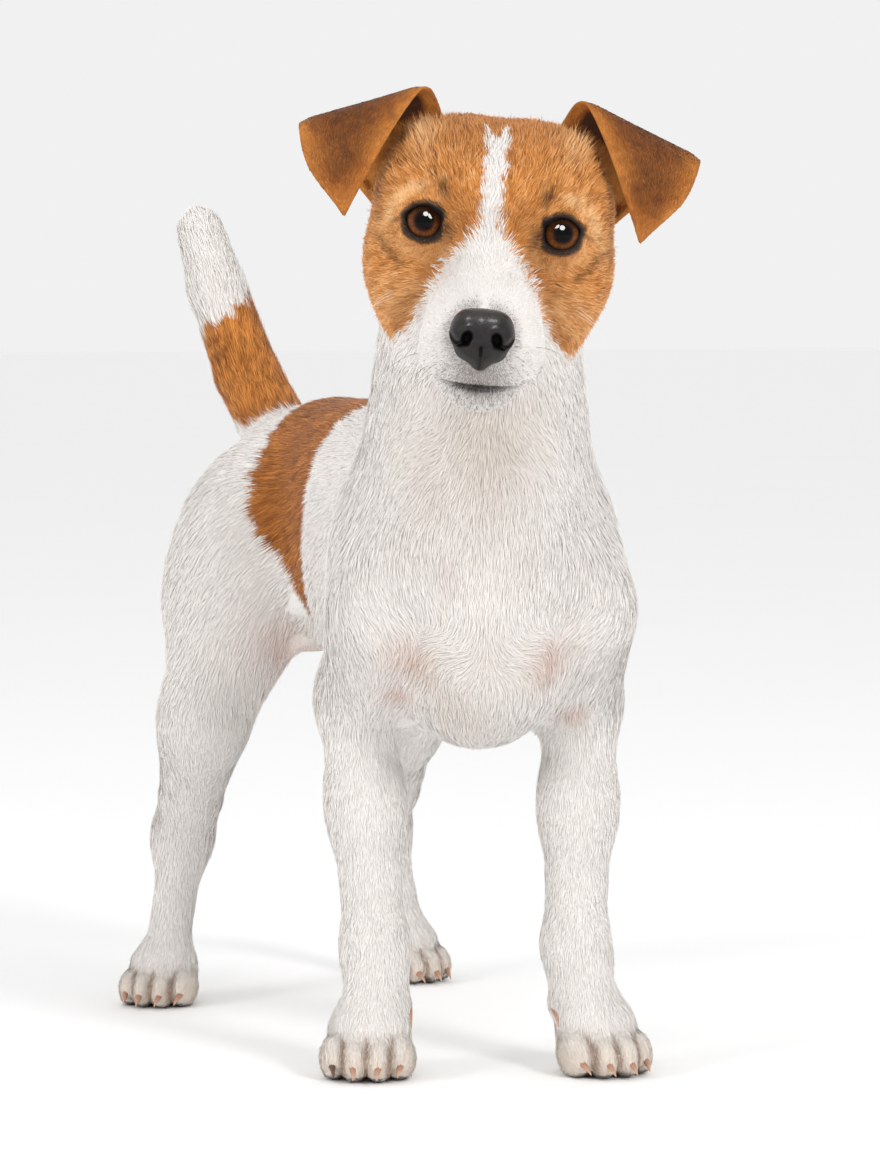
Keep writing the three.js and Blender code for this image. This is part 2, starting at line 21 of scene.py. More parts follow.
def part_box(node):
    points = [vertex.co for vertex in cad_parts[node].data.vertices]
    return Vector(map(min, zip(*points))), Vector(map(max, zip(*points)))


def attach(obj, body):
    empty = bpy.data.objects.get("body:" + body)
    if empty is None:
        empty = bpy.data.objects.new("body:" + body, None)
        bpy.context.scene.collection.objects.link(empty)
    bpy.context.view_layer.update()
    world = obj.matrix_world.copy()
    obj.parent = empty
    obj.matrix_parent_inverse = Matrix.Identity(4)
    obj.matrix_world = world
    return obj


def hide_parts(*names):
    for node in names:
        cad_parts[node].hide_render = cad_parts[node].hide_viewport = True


Points = np.ndarray
Values = np.ndarray
Shape = Callable[[Points], Values]
Triple = tuple[float, float, float]

LOG = logging.getLogger("terrier")
SIDES = {"right": -1, "left": 1}
BODY = "root"
MM = 1000.0
WELD = 1e-5
BAKE_MAP = "OFBake"
BACK = 326.0
AIM = (0.0, 0.0, 0.3)

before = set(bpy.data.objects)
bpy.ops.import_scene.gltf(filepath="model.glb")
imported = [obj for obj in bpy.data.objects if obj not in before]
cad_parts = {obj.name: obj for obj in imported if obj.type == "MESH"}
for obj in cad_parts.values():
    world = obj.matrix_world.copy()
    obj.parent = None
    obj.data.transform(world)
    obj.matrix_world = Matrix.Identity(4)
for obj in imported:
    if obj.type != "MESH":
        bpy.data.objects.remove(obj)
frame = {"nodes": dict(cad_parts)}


# ---- small maths ----

def unit(v: np.ndarray) -> np.ndarray:
    """The vectors v scaled to length 1."""
    return v / np.maximum(np.linalg.norm(v, axis=-1, keepdims=True), 1e-9)


def ramp(x: Values, start: float, end: float) -> Values:
    """A soft step from 0 at start to 1 at end."""
    t = np.clip((x - start) / (end - start), 0.0, 1.0)
    return t * t * (3.0 - 2.0 * t)


def bump(distance: Values, width: float) -> Values:
    """A bell of height 1 that falls off over a width."""
    return np.exp(-((distance / width) ** 2))


def smooth_min(a: Values, b: Values, width: float | Values) -> Values:
    """The lower of a and b, melted together over a width."""
    h = np.maximum(width - np.abs(a - b), 0.0) / width
    return np.minimum(a, b) - h * h * width / 4.0


def between(a: Triple, b: Triple, t: float) -> Triple:
    """The point a share t of the way from a to b."""
    return tuple(u + (v - u) * t for u, v in zip(a, b))


def shifted(a: Triple, dx: float, dy: float, dz: float) -> Triple:
    """The point a moved by dx, dy and dz."""
    return (a[0] + dx, a[1] + dy, a[2] + dz)


def settle(shape: Shape, p: Points, turns: int, most: float) -> Points:
    """Points p moved onto the surface of a shape.

    Args:
        shape: the distance to a surface.
        p: points, one a row.
        turns: how many steps are taken.
        most: the longest step, in millimetres.

    Returns:
        The moved points.
    """
    p = p.copy()
    small = 0.15
    for _ in range(turns):
        d = shape(p)
        slope = np.empty_like(p)
        for axis in range(3):
            q = p.copy()
            q[:, axis] += small
            slope[:, axis] = (shape(q) - d) / small
        size = np.maximum(np.sum(slope * slope, axis=1), 0.25)
        p -= np.clip(d / size, -most, most)[:, None] * slope
    return p


class Noise:
    """A smooth seeded noise of a point, made of a few waves, from about -1 to 1."""

    def __init__(self, seed: int, size: float, waves: int = 9) -> None:
        """Draws the waves.

        Args:
            seed: the seed of the draw.
            size: the length of a typical wave, in millimetres.
            waves: how many waves are added.
        """
        rng = np.random.default_rng(seed)
        turn = unit(rng.normal(size=(waves, 3)))
        self.ways = turn * (2.0 * math.pi / size) * rng.uniform(0.6, 1.6, (waves, 1))
        self.starts = rng.uniform(0.0, 2.0 * math.pi, waves)

    def __call__(self, p: Points) -> Values:
        """The noise at points p."""
        return np.sin(p @ self.ways.T + self.starts).sum(axis=1) / math.sqrt(2.0 * len(self.starts))


# ---- shapes: each gives the signed distance of points to its surface ----

class Piece:
    """A shape that is one simple form."""

    def near(self, centre: Points, reach: float) -> Shape:
        """The shape as points within a reach of the centre meet it."""
        return self


@dataclass(frozen=True)
class Limb(Piece):
    """A cone with round ends from a to b."""

    a: Triple
    b: Triple
    ra: float
    rb: float

    def __call__(self, p: Points) -> Values:
        """The distance of points p to the surface."""
        start = np.array(self.a)
        axis = np.array(self.b) - start
        q = p - start
        t = np.clip(q @ axis / (axis @ axis), 0.0, 1.0)
        return np.linalg.norm(q - t[:, None] * axis, axis=1) - (self.ra + t * (self.rb - self.ra))


@dataclass(frozen=True)
class Mass(Piece):
    """An ellipsoid with half-axes r, turned about the vertical and pitched across, in degrees."""

    c: Triple
    r: Triple
    turn: float = 0.0
    pitch: float = 0.0

    def __call__(self, p: Points) -> Values:
        """The distance of points p to the surface."""
        ct, st = math.cos(math.radians(self.turn)), math.sin(math.radians(self.turn))
        cp, sp = math.cos(math.radians(self.pitch)), math.sin(math.radians(self.pitch))
        d = p - np.array(self.c)
        u = d[:, 0] * ct + d[:, 1] * st
        v0 = -d[:, 0] * st + d[:, 1] * ct
        v = v0 * cp + d[:, 2] * sp
        w = -v0 * sp + d[:, 2] * cp
        rx, ry, rz = self.r
        k0 = np.sqrt((u / rx) ** 2 + (v / ry) ** 2 + (w / rz) ** 2)
        k1 = np.sqrt((u / rx ** 2) ** 2 + (v / ry ** 2) ** 2 + (w / rz ** 2) ** 2)
        return k0 * (k0 - 1.0) / np.maximum(k1, 1e-9)


@dataclass(frozen=True)
class Blend:
    """Several shapes melted into each other over a width."""

    width: float
    parts: tuple[Shape, ...]

    def __call__(self, p: Points) -> Values:
        """The distance of points p to the surface."""
        d = self.parts[0](p)
        for part in self.parts[1:]:
            d = smooth_min(d, part(p), self.width)
        return d

    def near(self, centre: Points, reach: float) -> Shape:
        """The shape as points within a reach of the centre meet it."""
        d = [float(part(centre)[0]) for part in self.parts]
        most = min(d) + 2.4 * reach + self.width
        kept = tuple(part.near(centre, reach) for part, far in zip(self.parts, d) if far <= most)
        return kept[0] if len(kept) == 1 else Blend(self.width, kept)


@dataclass(frozen=True)
class Hollow:
    """A shape with softly edged dents pressed into it."""

    width: float
    whole: Shape
    dents: tuple[Shape, ...]

    def __call__(self, p: Points) -> Values:
        """The distance of points p to the surface."""
        d = self.whole(p)
        for dent in self.dents:
            d = -smooth_min(-d, dent(p), self.width)
        return d

    def near(self, centre: Points, reach: float) -> Shape:
        """The shape as points within a reach of the centre meet it."""
        return Hollow(self.width, self.whole.near(centre, reach), self.dents)


@dataclass(frozen=True)
class Frame:
    """A turned and moved set of axes."""

    matrix: Matrix

    def inside(self, p: Points) -> Points:
        """Points p of the dog, told in this frame."""
        m = np.array(self.matrix.inverted())
        return p @ m[:3, :3].T + m[:3, 3]

    def outside(self, p: Points) -> Points:
        """Points p of this frame, told in the dog's space."""
        m = np.array(self.matrix)
        return np.atleast_2d(p) @ m[:3, :3].T + m[:3, 3]

    def way(self, v: np.ndarray) -> np.ndarray:
        """Directions v of this frame, told in the dog's space."""
        return np.atleast_2d(v) @ np.array(self.matrix)[:3, :3].T


@dataclass(frozen=True)
class Framed:
    """A shape that is told in a frame of its own."""

    frame: Frame
    shape: Shape

    def __call__(self, p: Points) -> Values:
        """The distance of points p to the surface."""
        return self.shape(self.frame.inside(p))

    def near(self, centre: Points, reach: float) -> Shape:
        """The shape as points within a reach of the centre meet it."""
        return Framed(self.frame, self.shape.near(self.frame.inside(centre), reach))


class Nearby:
    """A shape worked out block by block, so that each point only meets the forms near it."""

    def __init__(self, shape: Shape, block: float = 64.0) -> None:
        """Keeps the shape.

        Args:
            shape: the whole shape.
            block: the size of a block, in millimetres.
        """
        self.shape = shape
        self.block = block
        self.blocks: dict[tuple[int, ...], Shape] = {}

    def __call__(self, p: Points) -> Values:
        """The distance of points p to the surface."""
        cell = np.floor(p / self.block).astype(int)
        code = cell @ np.array([1, 1000, 1000000])
        order = np.argsort(code, kind="stable")
        starts = np.flatnonzero(np.diff(code[order], prepend=code[order[0]] - 1)) if len(p) else []
        out = np.empty(len(p))
        for start, stop in zip(starts, [*starts[1:], len(p)]):
            chosen = order[start:stop]
            key = tuple(cell[chosen[0]])
            if key not in self.blocks:
                centre = (np.array(key) + 0.5)[None] * self.block
                self.blocks[key] = self.shape.near(centre, 0.87 * self.block)
            out[chosen] = self.blocks[key](p[chosen])
        return out


# ---- the body's build ----

@dataclass(frozen=True)
class Spine:
    """The back's sideways curve: x = x + slope y + bend y^2."""

    x: float = 1.0
    slope: float = 0.27
    bend: float = -0.00088

    def lean(self, y: float | Values) -> float | Values:
        """How far the spine leans sideways at y."""
        return self.slope + 2.0 * self.bend * y

    def at(self, side: float, y: float, z: float) -> Triple:
        """The point that lies side to the left of the spine, at y along the dog and z up."""
        lean = self.lean(y)
        c = 1.0 / math.hypot(1.0, lean)
        return (self.x + self.slope * y + self.bend * y * y + side * c, y - side * lean * c, z)

    def turn(self, y: float) -> float:
        """The spine's turn about the vertical at y, in degrees."""
        return -math.degrees(math.atan(self.lean(y)))

    def place(self, p: Points) -> Points:
        """Points p as side, y and z of the bent body."""
        y = p[:, 1]
        lean = self.lean(y)
        off = p[:, 0] - (self.x + self.slope * y + self.bend * y * y)
        c = 1.0 / np.hypot(1.0, lean)
        return stacked(off * c, y + off * lean * c * c, p[:, 2])


SPINE = Spine()


@dataclass(frozen=True)
class Trunk:
    """Rib cage, chest, back, belly, rump and the muscles of the shoulders and thighs."""

    melt: float = 26.0

    def shape(self) -> Shape:
        """The trunk's surface."""
        at, turn = SPINE.at, SPINE.turn
        parts: list[Shape] = [
            Mass(at(0, 96, 245), (58, 104, 81), turn(96), -3),
            Mass(at(0, 10, 230), (50, 62, 62), turn(10)),
            Mass(at(0, -18, 214), (26, 34, 34), turn(0)),
            Mass(at(0, 22, 190), (30, 44, 28), turn(20)),
            Limb(at(0, 30, 286), at(0, 230, 290), 34, 38),
            Mass(at(0, 184, 250), (48, 82, 70), turn(184)),
            Mass(at(0, 262, 272), (50, 58, 50), turn(262)),
        ]
        for s in SIDES.values():
            parts += [
                Limb(at(14 * s, 52, 302), at(46 * s, -4, 236), 24, 27),
                Mass(at(50 * s, 32, 226), (23, 40, 50), turn(30)),
                Mass(at(33 * s, 272, 246), (34, 56, 48), turn(272)),
                Mass(at(50 * s, 272, 212), (29, 50, 50), turn(272), 8),
            ]
        return Blend(self.melt, tuple(parts))


@dataclass(frozen=True)
class Neck:
    """The neck with its nape and throat."""

    melt: float = 24.0

    def shape(self) -> Shape:
        """The neck's surface."""
        return Blend(self.melt, (
            Limb((3, 14, 280), (-22, -54, 392), 62, 47),
            Limb((14, 48, 290), (-16, -40, 410), 32, 30),
            Limb((-6, -14, 262), (-24, -66, 352), 44, 34),
        ))


@dataclass(frozen=True)
class Paw:
    """A paw with four toes: where it stands, how it is turned, and its size."""

    at: Triple
    turn: float
    size: float
    dew_side: int = 0
    toes: tuple[tuple[float, float], ...] = ((-17, -9), (-6.2, -17), (6.2, -17), (17, -9))

    def point(self, x: float, y: float, z: float) -> Triple:
        """The paw's own point x across, y back and z up, on the dog."""
        a = math.radians(self.turn)
        return (self.at[0] + x * math.cos(a) - y * math.sin(a),
                self.at[1] + x * math.sin(a) + y * math.cos(a), z)

    def scaled(self, x: float, y: float, z: float) -> Triple:
        """The same, for a point of a paw of size 1."""
        return self.point(x * self.size, y * self.size, z * self.size)

    def inside(self, p: Points) -> Points:
        """Points p of the dog in the paw's own axes, for a paw of size 1."""
        a = math.radians(self.turn)
        d = p - np.array(self.at)
        return stacked(d[:, 0] * math.cos(a) + d[:, 1] * math.sin(a),
                       -d[:, 0] * math.sin(a) + d[:, 1] * math.cos(a), d[:, 2]) / self.size

    def shape(self) -> Shape:
        """The paw's surface without its toes."""
        s, at = self.size, self.scaled
        parts: list[Shape] = [
            Limb(at(0, 4, 16), at(0, -6, 13), 15 * s, 13 * s),
            Limb(at(-8, 2, 22), at(8, 2, 22), 12.5 * s, 12.5 * s),
            Limb(at(-9, 9, 6), at(9, 9, 6), 8.5 * s, 8.5 * s),
            Limb(at(-11, 0, 9), at(11, 0, 9), 10 * s, 10 * s),
        ]
        if self.dew_side:
            root, tip = (self.point(self.dew_side * x, y, z) for x, y, z in ((8, 13, 40), (15, 12, 32)))
            parts.append(Limb(root, tip, 8, 6))
        return Blend(6, tuple(parts))

    def toe_shape(self) -> Shape:
        """The surface of the four toes, with the clefts between them."""
        half = tuple(self.size * r for r in (7.6, 13.5, 11.4))
        toes = (Mass(self.scaled(x, y - 2, 10.2), half, self.turn - math.degrees(x * 0.008), 10)
                for x, y in self.toes)
        return Blend(1.5, tuple(toes))


@dataclass(frozen=True)
class ForeLeg:
    """A foreleg from the shoulder to the paw."""

    shoulder: Triple
    elbow: Triple
    wrist: Triple
    paw: Paw

    def shape(self) -> Shape:
        """The leg's surface."""
        e, w = self.elbow, self.wrist
        return Blend(14, (
            Limb(self.shoulder, e, 26, 20),
            Limb(shifted(e, 0, 8, 2), shifted(e, 0, 11, 12), 14, 15),
            Limb(e, between(e, w, 0.45), 20.5, 18.5),
            Limb(between(e, w, 0.4), w, 18.5, 15.5),
            Limb(w, shifted(self.paw.at, 0, -2, 16), 16, 15),
        ))


@dataclass(frozen=True)
class HindLeg:
    """A hind leg from the hip to the paw."""

    hip: Triple
    knee: Triple
    hock: Triple
    paw: Paw

    def shape(self) -> Shape:
        """The leg's surface."""
        p, k, h = self.hip, self.knee, self.hock
        return Blend(20, (
            Limb(p, k, 36, 21),
            Limb(between(p, k, 0.15), between(k, h, 0.2), 34, 18),
            Limb(k, between(k, h, 0.6), 20.5, 13),
            Limb(between(k, h, 0.5), h, 13.5, 11.5),
            Limb(between(k, h, 0.72), shifted(h, 0, 8, 6), 8, 9),
            Limb(h, shifted(self.paw.at, 0, -2, 14), 13, 12.5),
        ))


@dataclass(frozen=True)
class Tail:
    """The tail, carried high."""

    joints: tuple[Triple, ...] = ((5, 298, 304), (-3, 330, 340), (-12, 352, 385), (-15, 373, 418.5))
    radii: tuple[float, ...] = (21, 19, 17.5, 14.5)

    def shape(self) -> Shape:
        """The tail's surface, out to the tips of its coat."""
        pairs = zip(self.joints, self.joints[1:], self.radii, self.radii[1:])
        return Blend(4, tuple(Limb(a, b, ra, rb) for a, b, ra, rb in pairs))


@dataclass(frozen=True)
class Head:
    """The head: skull, muzzle, lips and lids."""

    eyes: Triple = (-39.2, -108.2, 413.2)
    turn: float = -22.0
    tilt: float = 5.3
    pitch: float = 18.0
    eye_side: float = 31.5
    eye_depth: float = 3.5
    eye_radius: float = 10.8
    lid: float = 1.3
    opening: tuple[float, float] = (8.4, 7.6)
    snout_slope: float = 15.0
    mouth_at: Triple = (0.0, -60.0, -56.0)
    mouth_slope: float = 9.0

    def face(self) -> Frame:
        """The face's frame: x to its left, y back along its line of sight, z up, from between the eyes."""
        return Frame(Matrix.Translation(self.eyes) @ Matrix.Rotation(math.radians(self.turn), 4, "Z")
                     @ Matrix.Rotation(math.radians(self.tilt), 4, "Y"))

    def skull(self) -> Frame:
        """The skull's frame: the same, with y along the skull."""
        return Frame(self.face().matrix @ Matrix.Rotation(math.radians(self.pitch), 4, "X"))

    def bones(self) -> Shape:
        """The head's surface in the skull's frame."""
        slope = self.snout_slope
        parts: list[Shape] = [
            Mass((0, 42, 2), (44, 52, 35)),
            Mass((0, 8, 8), (30, 26, 23)),
            Limb((0, -10, -11), (0, -56, -31), 13, 11),
            Mass((0, -26, -38), (27, 42, 22), 0, slope),
            Mass((0, -18, -53), (22, 36, 15), 0, slope),
            Mass((0, -44, -60), (15, 13, 12)),
            Mass((0, 26, -36), (34, 40, 24)),
        ]
        for s in SIDES.values():
            parts += [
                Mass((18 * s, 40, 6), (26, 44, 31)),
                Mass((20 * s, 6, 14), (12, 9, 8)),
                Mass((33 * s, 32, -26), (26, 33, 36)),
                Mass((29 * s, 32, 4), (26, 33, 25)),
                Mass((13 * s, -46, -44), (15, 18, 14), 0, slope),
            ]
        dents = tuple(Mass((35 * s, -14, -1), (10, 11, 9)) for s in SIDES.values())
        return Hollow(6, Blend(11, tuple(parts)), dents)

    def from_eye(self, p: Points, side: int) -> Values:
        """How far points p lie from the middle of an eyeball."""
        return np.linalg.norm(p - self.eye_centre(side), axis=1)

    def shape(self) -> Shape:
        """The head's surface, out to the tips of its coat."""
        return Framed(self.skull(), self.bones())

    def eye_centre(self, side: int) -> np.ndarray:
        """The middle of an eyeball, in the dog's space."""
        return self.face().outside(np.array([side * self.eye_side, self.eye_depth, 0.0]))[0]


@dataclass(frozen=True)
class Ear:
    """A thin flap that rises from the skull, folds over and hangs forward: three ribs in the face's frame."""

    inner: tuple[Triple, ...] = (
        (24, 38, 40), (29.5, 36.5, 54), (34, 32, 61.5), (39.5, 25, 60), (51, 15, 39), (68, 5, 0))
    middle: tuple[Triple, ...] = (
        (44, 50, 30), (54, 48, 42), (60, 39, 51), (67, 25, 49), (71.5, 13, 29), (68.5, 4, -0.5))
    outer: tuple[Triple, ...] = (
        (56, 44, 6), (75, 48, 25), (89, 39, 38), (93.5, 25, 39), (87, 12, 20), (69, 5, 0))
    tension: float = 0.45
    half: float = 1.5

    def along(self, rib: Sequence[Triple], t: Values) -> Points:
        """Points on the smooth curve through a rib.

        Args:
            rib: the rib's knots.
            t: places from 0 at the root to 1 at the tip.

        Returns:
            One point a row.
        """
        knots = np.array(rib, float)
        knots = np.vstack([2 * knots[0] - knots[1], knots, 2 * knots[-1] - knots[-2]])
        place = np.clip(t, 0.0, 1.0) * (len(rib) - 1)
        i = np.minimum(place.astype(int), len(rib) - 2)
        w = (place - i)[:, None]
        p0, p1, p2, p3 = knots[i], knots[i + 1], knots[i + 2], knots[i + 3]
        t0, t1 = self.tension * (p2 - p0), self.tension * (p3 - p1)
        return (p1 + t0 * w + (3 * (p2 - p1) - 2 * t0 - t1) * w ** 2 + (2 * (p1 - p2) + t0 + t1) * w ** 3)

    def point(self, across: Values, along: Values, side: int) -> Points:
        """Points on the middle of the flap, in the face's frame.

        Args:
            across: places from 0 at the inner edge to 1 at the outer edge.
            along: places from 0 at the root to 1 at the tip.
            side: 1 for the left ear and -1 for the right one.

        Returns:
            One point a row.
        """
        a, b, c = (self.along(rib, along) for rib in (self.inner, self.middle, self.outer))
        control = 2 * b - 0.5 * a - 0.5 * c
        u = across[:, None]
        p = (1 - u) ** 2 * a + 2 * u * (1 - u) * control + u ** 2 * c
        return p * np.array([side, 1, 1])


class EarShell:
    """One ear as a closed flap of skin."""

    def __init__(self, ear: Ear, side: int, face: Frame, cells: tuple[int, int] = (30, 52)) -> None:
        """Makes the flap.

        Args:
            ear: the ear's ribs.
            side: 1 for the left ear and -1 for the right one.
            face: the face's frame.
            cells: how many cells lie across and along the flap.
        """
        mesh = bmesh.new()
        bmesh.ops.create_grid(mesh, x_segments=cells[0], y_segments=cells[1], size=0.5)
        mark = mesh.verts.layers.int.new("cell")
        for i, vert in enumerate(mesh.verts):
            vert[mark] = i
        flat = spots(mesh)[:, :2] + 0.5
        across, along = flat.T
        middle = face.outside(ear.point(across, along, side))
        move(mesh.verts, middle)
        mesh.normal_update()
        out = np.array([v.normal for v in mesh.verts])
        edge = np.minimum(across, 1 - across)
        rim = np.minimum(edge * 2.2, (1 - along) * 3.0)
        half = ear.half * (0.30 + 0.70 * ramp(rim, 0.0, 0.22))
        half += 3.0 * (1.0 - ramp(along, 0.05, 0.28)) * ramp(edge, 0.0, 0.3)
        bmesh.ops.solidify(mesh, geom=mesh.faces[:], thickness=0.1)

        def rank(shell: bmesh.types.BMFace) -> float:
            """Where a face comes: both sheets stay as they are, and the rim follows by its cells."""
            ends = sorted({v[mark] for v in shell.verts})
            return shell.index if len(ends) > 2 else len(mesh.faces) + ends[0] * len(flat) + ends[1]

        mesh.faces.index_update()
        mesh.faces.sort(key=rank)
        cell = np.array([v[mark] for v in mesh.verts])
        front = np.abs(np.sum((spots(mesh) - middle[cell]) * out[cell], axis=1)) < 0.03
        move(mesh.verts, middle[cell] + out[cell] * (half[cell] * np.where(front, 1.0, -1.0))[:, None])
        bmesh.ops.recalc_face_normals(mesh, faces=mesh.faces)
        self.mesh = mesh
        self.across, self.along, self.rim = across[cell], along[cell], rim[cell]
        step = 0.02
        ahead = ear.point(across, np.minimum(along + step, 1.0), side)
        behind = ear.point(across, np.maximum(along - step, 0.0), side)
        self.ways = face.way(unit(ahead - behind))[cell]
        hanging = (along > 0.7)
        outward = 1.0 if out[hanging, 1].mean() < 0.0 else -1.0
        # The lining faces the skull; the coat's colour paints it dark as shade.
        self.lining = (np.where(front, 1.0, -1.0) * outward < 0.0) * ramp(self.along, 0.1, 0.25) * ramp(
            rim[cell], 0.10, 0.35)


class Part(IntEnum):
    """The regions of the body that differ in their coat."""

    TRUNK = 0
    NECK = 1
    HEAD = 2
    TAIL = 3
    FORE_UPPER = 4
    FORE_LOWER = 5
    HIND_UPPER = 6
    HIND_LOWER = 7
    PAW = 8
    EAR = 9


class Figure:
    """The whole dog as one distance field, with its regions."""

    depths = {Part.TRUNK: 2.6, Part.NECK: 3.2, Part.HEAD: 1.0, Part.TAIL: 2.6, Part.FORE_UPPER: 2.2,
              Part.FORE_LOWER: 1.5, Part.HIND_UPPER: 2.2, Part.HIND_LOWER: 1.5, Part.PAW: 0.9, Part.EAR: 0.0}

    def __init__(self) -> None:
        """Puts the body's parts together."""
        at = SPINE.at
        self.head = Head()
        self.face = self.head.face()
        self.skull = self.head.skull()
        self.tail = Tail()
        self.fore = {
            "right": ForeLeg(at(-48, -6, 226), (-43, 54, 182), (-39, 42, 60),
                             Paw((-48, 28, 0), -24, 0.97, 1)),
            "left": ForeLeg(at(47, -6, 226), (64, 26, 180), (56, 12, 60), Paw((61, -4, 0), -2, 0.97, -1)),
        }
        self.hind = {
            "right": HindLeg(at(-34, 264, 262), (-57, 246, 160), (-51, 300, 87),
                             Paw((-67, 289, 0), -34, 0.88)),
            "left": HindLeg(at(34, 264, 262), (57, 246, 160), (79, 336, 84), Paw((88, 320, 0), 3, 0.88)),
        }
        self.paws = [leg.paw for legs in (self.fore, self.hind) for leg in legs.values()]
        trunk, neck, bones, tail = Trunk().shape(), Neck().shape(), self.head.shape(), self.tail.shape()
        legs = [leg.shape() for leg in (*self.fore.values(), *self.hind.values())]
        paws = [paw.shape() for paw in self.paws]
        ordered = [shape for pair in zip(legs, paws) for shape in pair]
        self.outline = Nearby(Blend(14, (Blend(30, (trunk, neck)), tail, bones, *ordered)))
        self.trunk, self.neck, self.bones, self.tail_shape = map(Nearby, (trunk, neck, bones, tail))
        self.fore_shape = Nearby(Blend(1, tuple(legs[:2])))
        self.hind_shape = Nearby(Blend(1, tuple(legs[2:])))
        self.toes = Nearby(Blend(1, tuple(paw.toe_shape() for paw in self.paws)))
        self.paw_shape = Nearby(Blend(1, tuple(paws)))
        self.ears = {name: EarShell(Ear(), side, self.face) for name, side in SIDES.items()}

    def shares(self, p: Points, ear: Values | float = 0.0) -> np.ndarray:
        """How much of each region every point belongs to.

        Args:
            p: points of the dog.
            ear: how much of each point is known to be an ear's.

        Returns:
            One row a point and one column a region, each row adding up to 1.
        """
        z = p[:, 2]
        fore, hind = self.fore_shape(p), self.hind_shape(p)
        above_elbow = ramp(z, 140.0, 190.0)
        above_knee = ramp(z, 120.0, 185.0)
        far, melt = 30.0, 5.0
        d = np.full((len(p), len(Part)), 200.0)
        d[:, Part.TRUNK] = self.trunk(p)
        d[:, Part.NECK] = self.neck(p) + 4.0
        d[:, Part.HEAD] = self.bones(p)
        d[:, Part.TAIL] = self.tail_shape(p)
        d[:, Part.FORE_UPPER] = fore + far * (1.0 - above_elbow)
        d[:, Part.FORE_LOWER] = fore + far * above_elbow
        d[:, Part.HIND_UPPER] = hind + far * (1.0 - above_knee)
        d[:, Part.HIND_LOWER] = hind + far * above_knee
        d[:, Part.PAW] = np.minimum(self.paw_shape(p), self.toes(p)) + far * ramp(z, 22.0, 46.0)
        w = np.exp(-(d - d.min(axis=1, keepdims=True)) / melt)
        w = w / w.sum(axis=1, keepdims=True) * (1.0 - np.atleast_1d(ear))[:, None]
        w[:, Part.EAR] = ear
        return w

    def depth(self, p: Points) -> Values:
        """The coat's depth at points p."""
        return self.shares(p) @ np.array([self.depths[part] for part in Part])

    def mouth(self, p: Points) -> tuple[Values, Values]:
        """How far points p lie above the line of the mouth, and how open the line is there."""
        q = self.skull.inside(p)
        a = math.radians(self.head.mouth_slope)
        x, y, z = self.head.mouth_at
        above = (q[:, 2] - z) * math.cos(a) - (q[:, 1] - y) * math.sin(a)
        near = (np.abs(q[:, 0]) < 40.0) & (q[:, 1] > -90.0) & (np.abs(q[:, 2] + 56.0) < 30.0)
        return above, (1.0 - ramp(q[:, 1], -18.0, -8.0)) * near

    def skin(self, p: Points, depth: Values) -> Values:
        """The distance of points p to the skin, where the coat has this depth."""
        d = self.outline(p) + depth
        d = smooth_min(d, self.toes(p) + 0.6, 3.0)
        above, line = self.mouth(p)
        d += line * (2.4 * bump(above, 1.2) - 0.9 * bump(above - 4.0, 3.0) + 0.7 * bump(above + 3.0, 2.4))
        ball = self.head.eye_radius + self.head.lid
        for side in SIDES.values():
            d = smooth_min(d, self.head.from_eye(p, side) - ball, 5.0)
        return d

    def settled(self, p: Points, turns: int, most: float) -> Points:
        """Points p moved onto the skin, by so many steps of at most this length."""
        depth = self.depth(p)
        return settle(lambda q: self.skin(q, depth), p, turns, most)

    def eye_ring(self, p: Points, side: int) -> tuple[Values, Points]:
        """Where points p lie round an eye's opening.

        Args:
            p: points of the dog.
            side: which eye.

        Returns:
            1 on the lids' edge and less inside it, and the points told from the eye's middle.
        """
        q = self.face.inside(p) - np.array([side * self.head.eye_side, self.head.eye_depth, 0.0])
        a, b = self.head.opening
        x, z = q[:, 0] * side / a, q[:, 2] / b
        ring = np.hypot(x, z)
        turn = np.arctan2(z, x)
        corner = 0.16 * bump(np.abs(np.abs(turn + 0.35) - math.pi), 0.32) + 0.10 * bump(turn - 0.30, 0.30)
        return ring * (1.0 - corner), q


class Space:
    """Turns the dog's millimetres into the frame's metres and back."""

    def __init__(self, figure: Figure) -> None:
        """Finds how far the frame is moved from the dog's own space, by its eyes."""
        seen = np.mean([np.mean(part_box(f"eye_{name}"), axis=0) for name in SIDES], axis=0) * MM
        own = np.mean([figure.head.eye_centre(side) for side in SIDES.values()], axis=0)
        self.shift = seen - own

    def metres(self, p: Points) -> Points:
        """Points p of the dog in the frame."""
        return (p + self.shift) / MM

    def own(self, q: Points) -> Points:
        """Points q of the frame in the dog's space."""
        return q * MM - self.shift


# ---- mesh helpers ----

def opened(mesh: bpy.types.Mesh) -> bmesh.types.BMesh:
    """A mesh, ready for bmesh operators."""
    bm = bmesh.new()
    bm.from_mesh(mesh)
    return bm


def closed(bm: bmesh.types.BMesh, mesh: bpy.types.Mesh | str) -> bpy.types.Mesh:
    """Writes a bmesh to a mesh, or to a new one of this name, and frees it."""
    if isinstance(mesh, str):
        mesh = bpy.data.meshes.new(mesh)
    bm.to_mesh(mesh)
    bm.free()
    return mesh


def spots(bm: bmesh.types.BMesh) -> Points:
    """The places of a bmesh's vertices."""
    return np.array([v.co for v in bm.verts])


def move(verts: Iterable[bmesh.types.BMVert], points: Points) -> None:
    """Moves a bmesh's vertices to these points."""
    for vert, point in zip(verts, points.tolist()):
        vert.co = point


def soften(bm: bmesh.types.BMesh) -> None:
    """Evens out a bmesh's vertices once."""
    bmesh.ops.smooth_vert(bm, verts=bm.verts, factor=0.5, use_axis_x=True, use_axis_y=True, use_axis_z=True)


def linked(name: str, data: bpy.types.ID) -> bpy.types.Object:
    """A new object of the scene."""
    obj = bpy.data.objects.new(name, data)
    bpy.context.scene.collection.objects.link(obj)
    return obj


def stacked(*columns: Values) -> np.ndarray:
    """Columns side by side."""
    return np.stack(columns, axis=1)


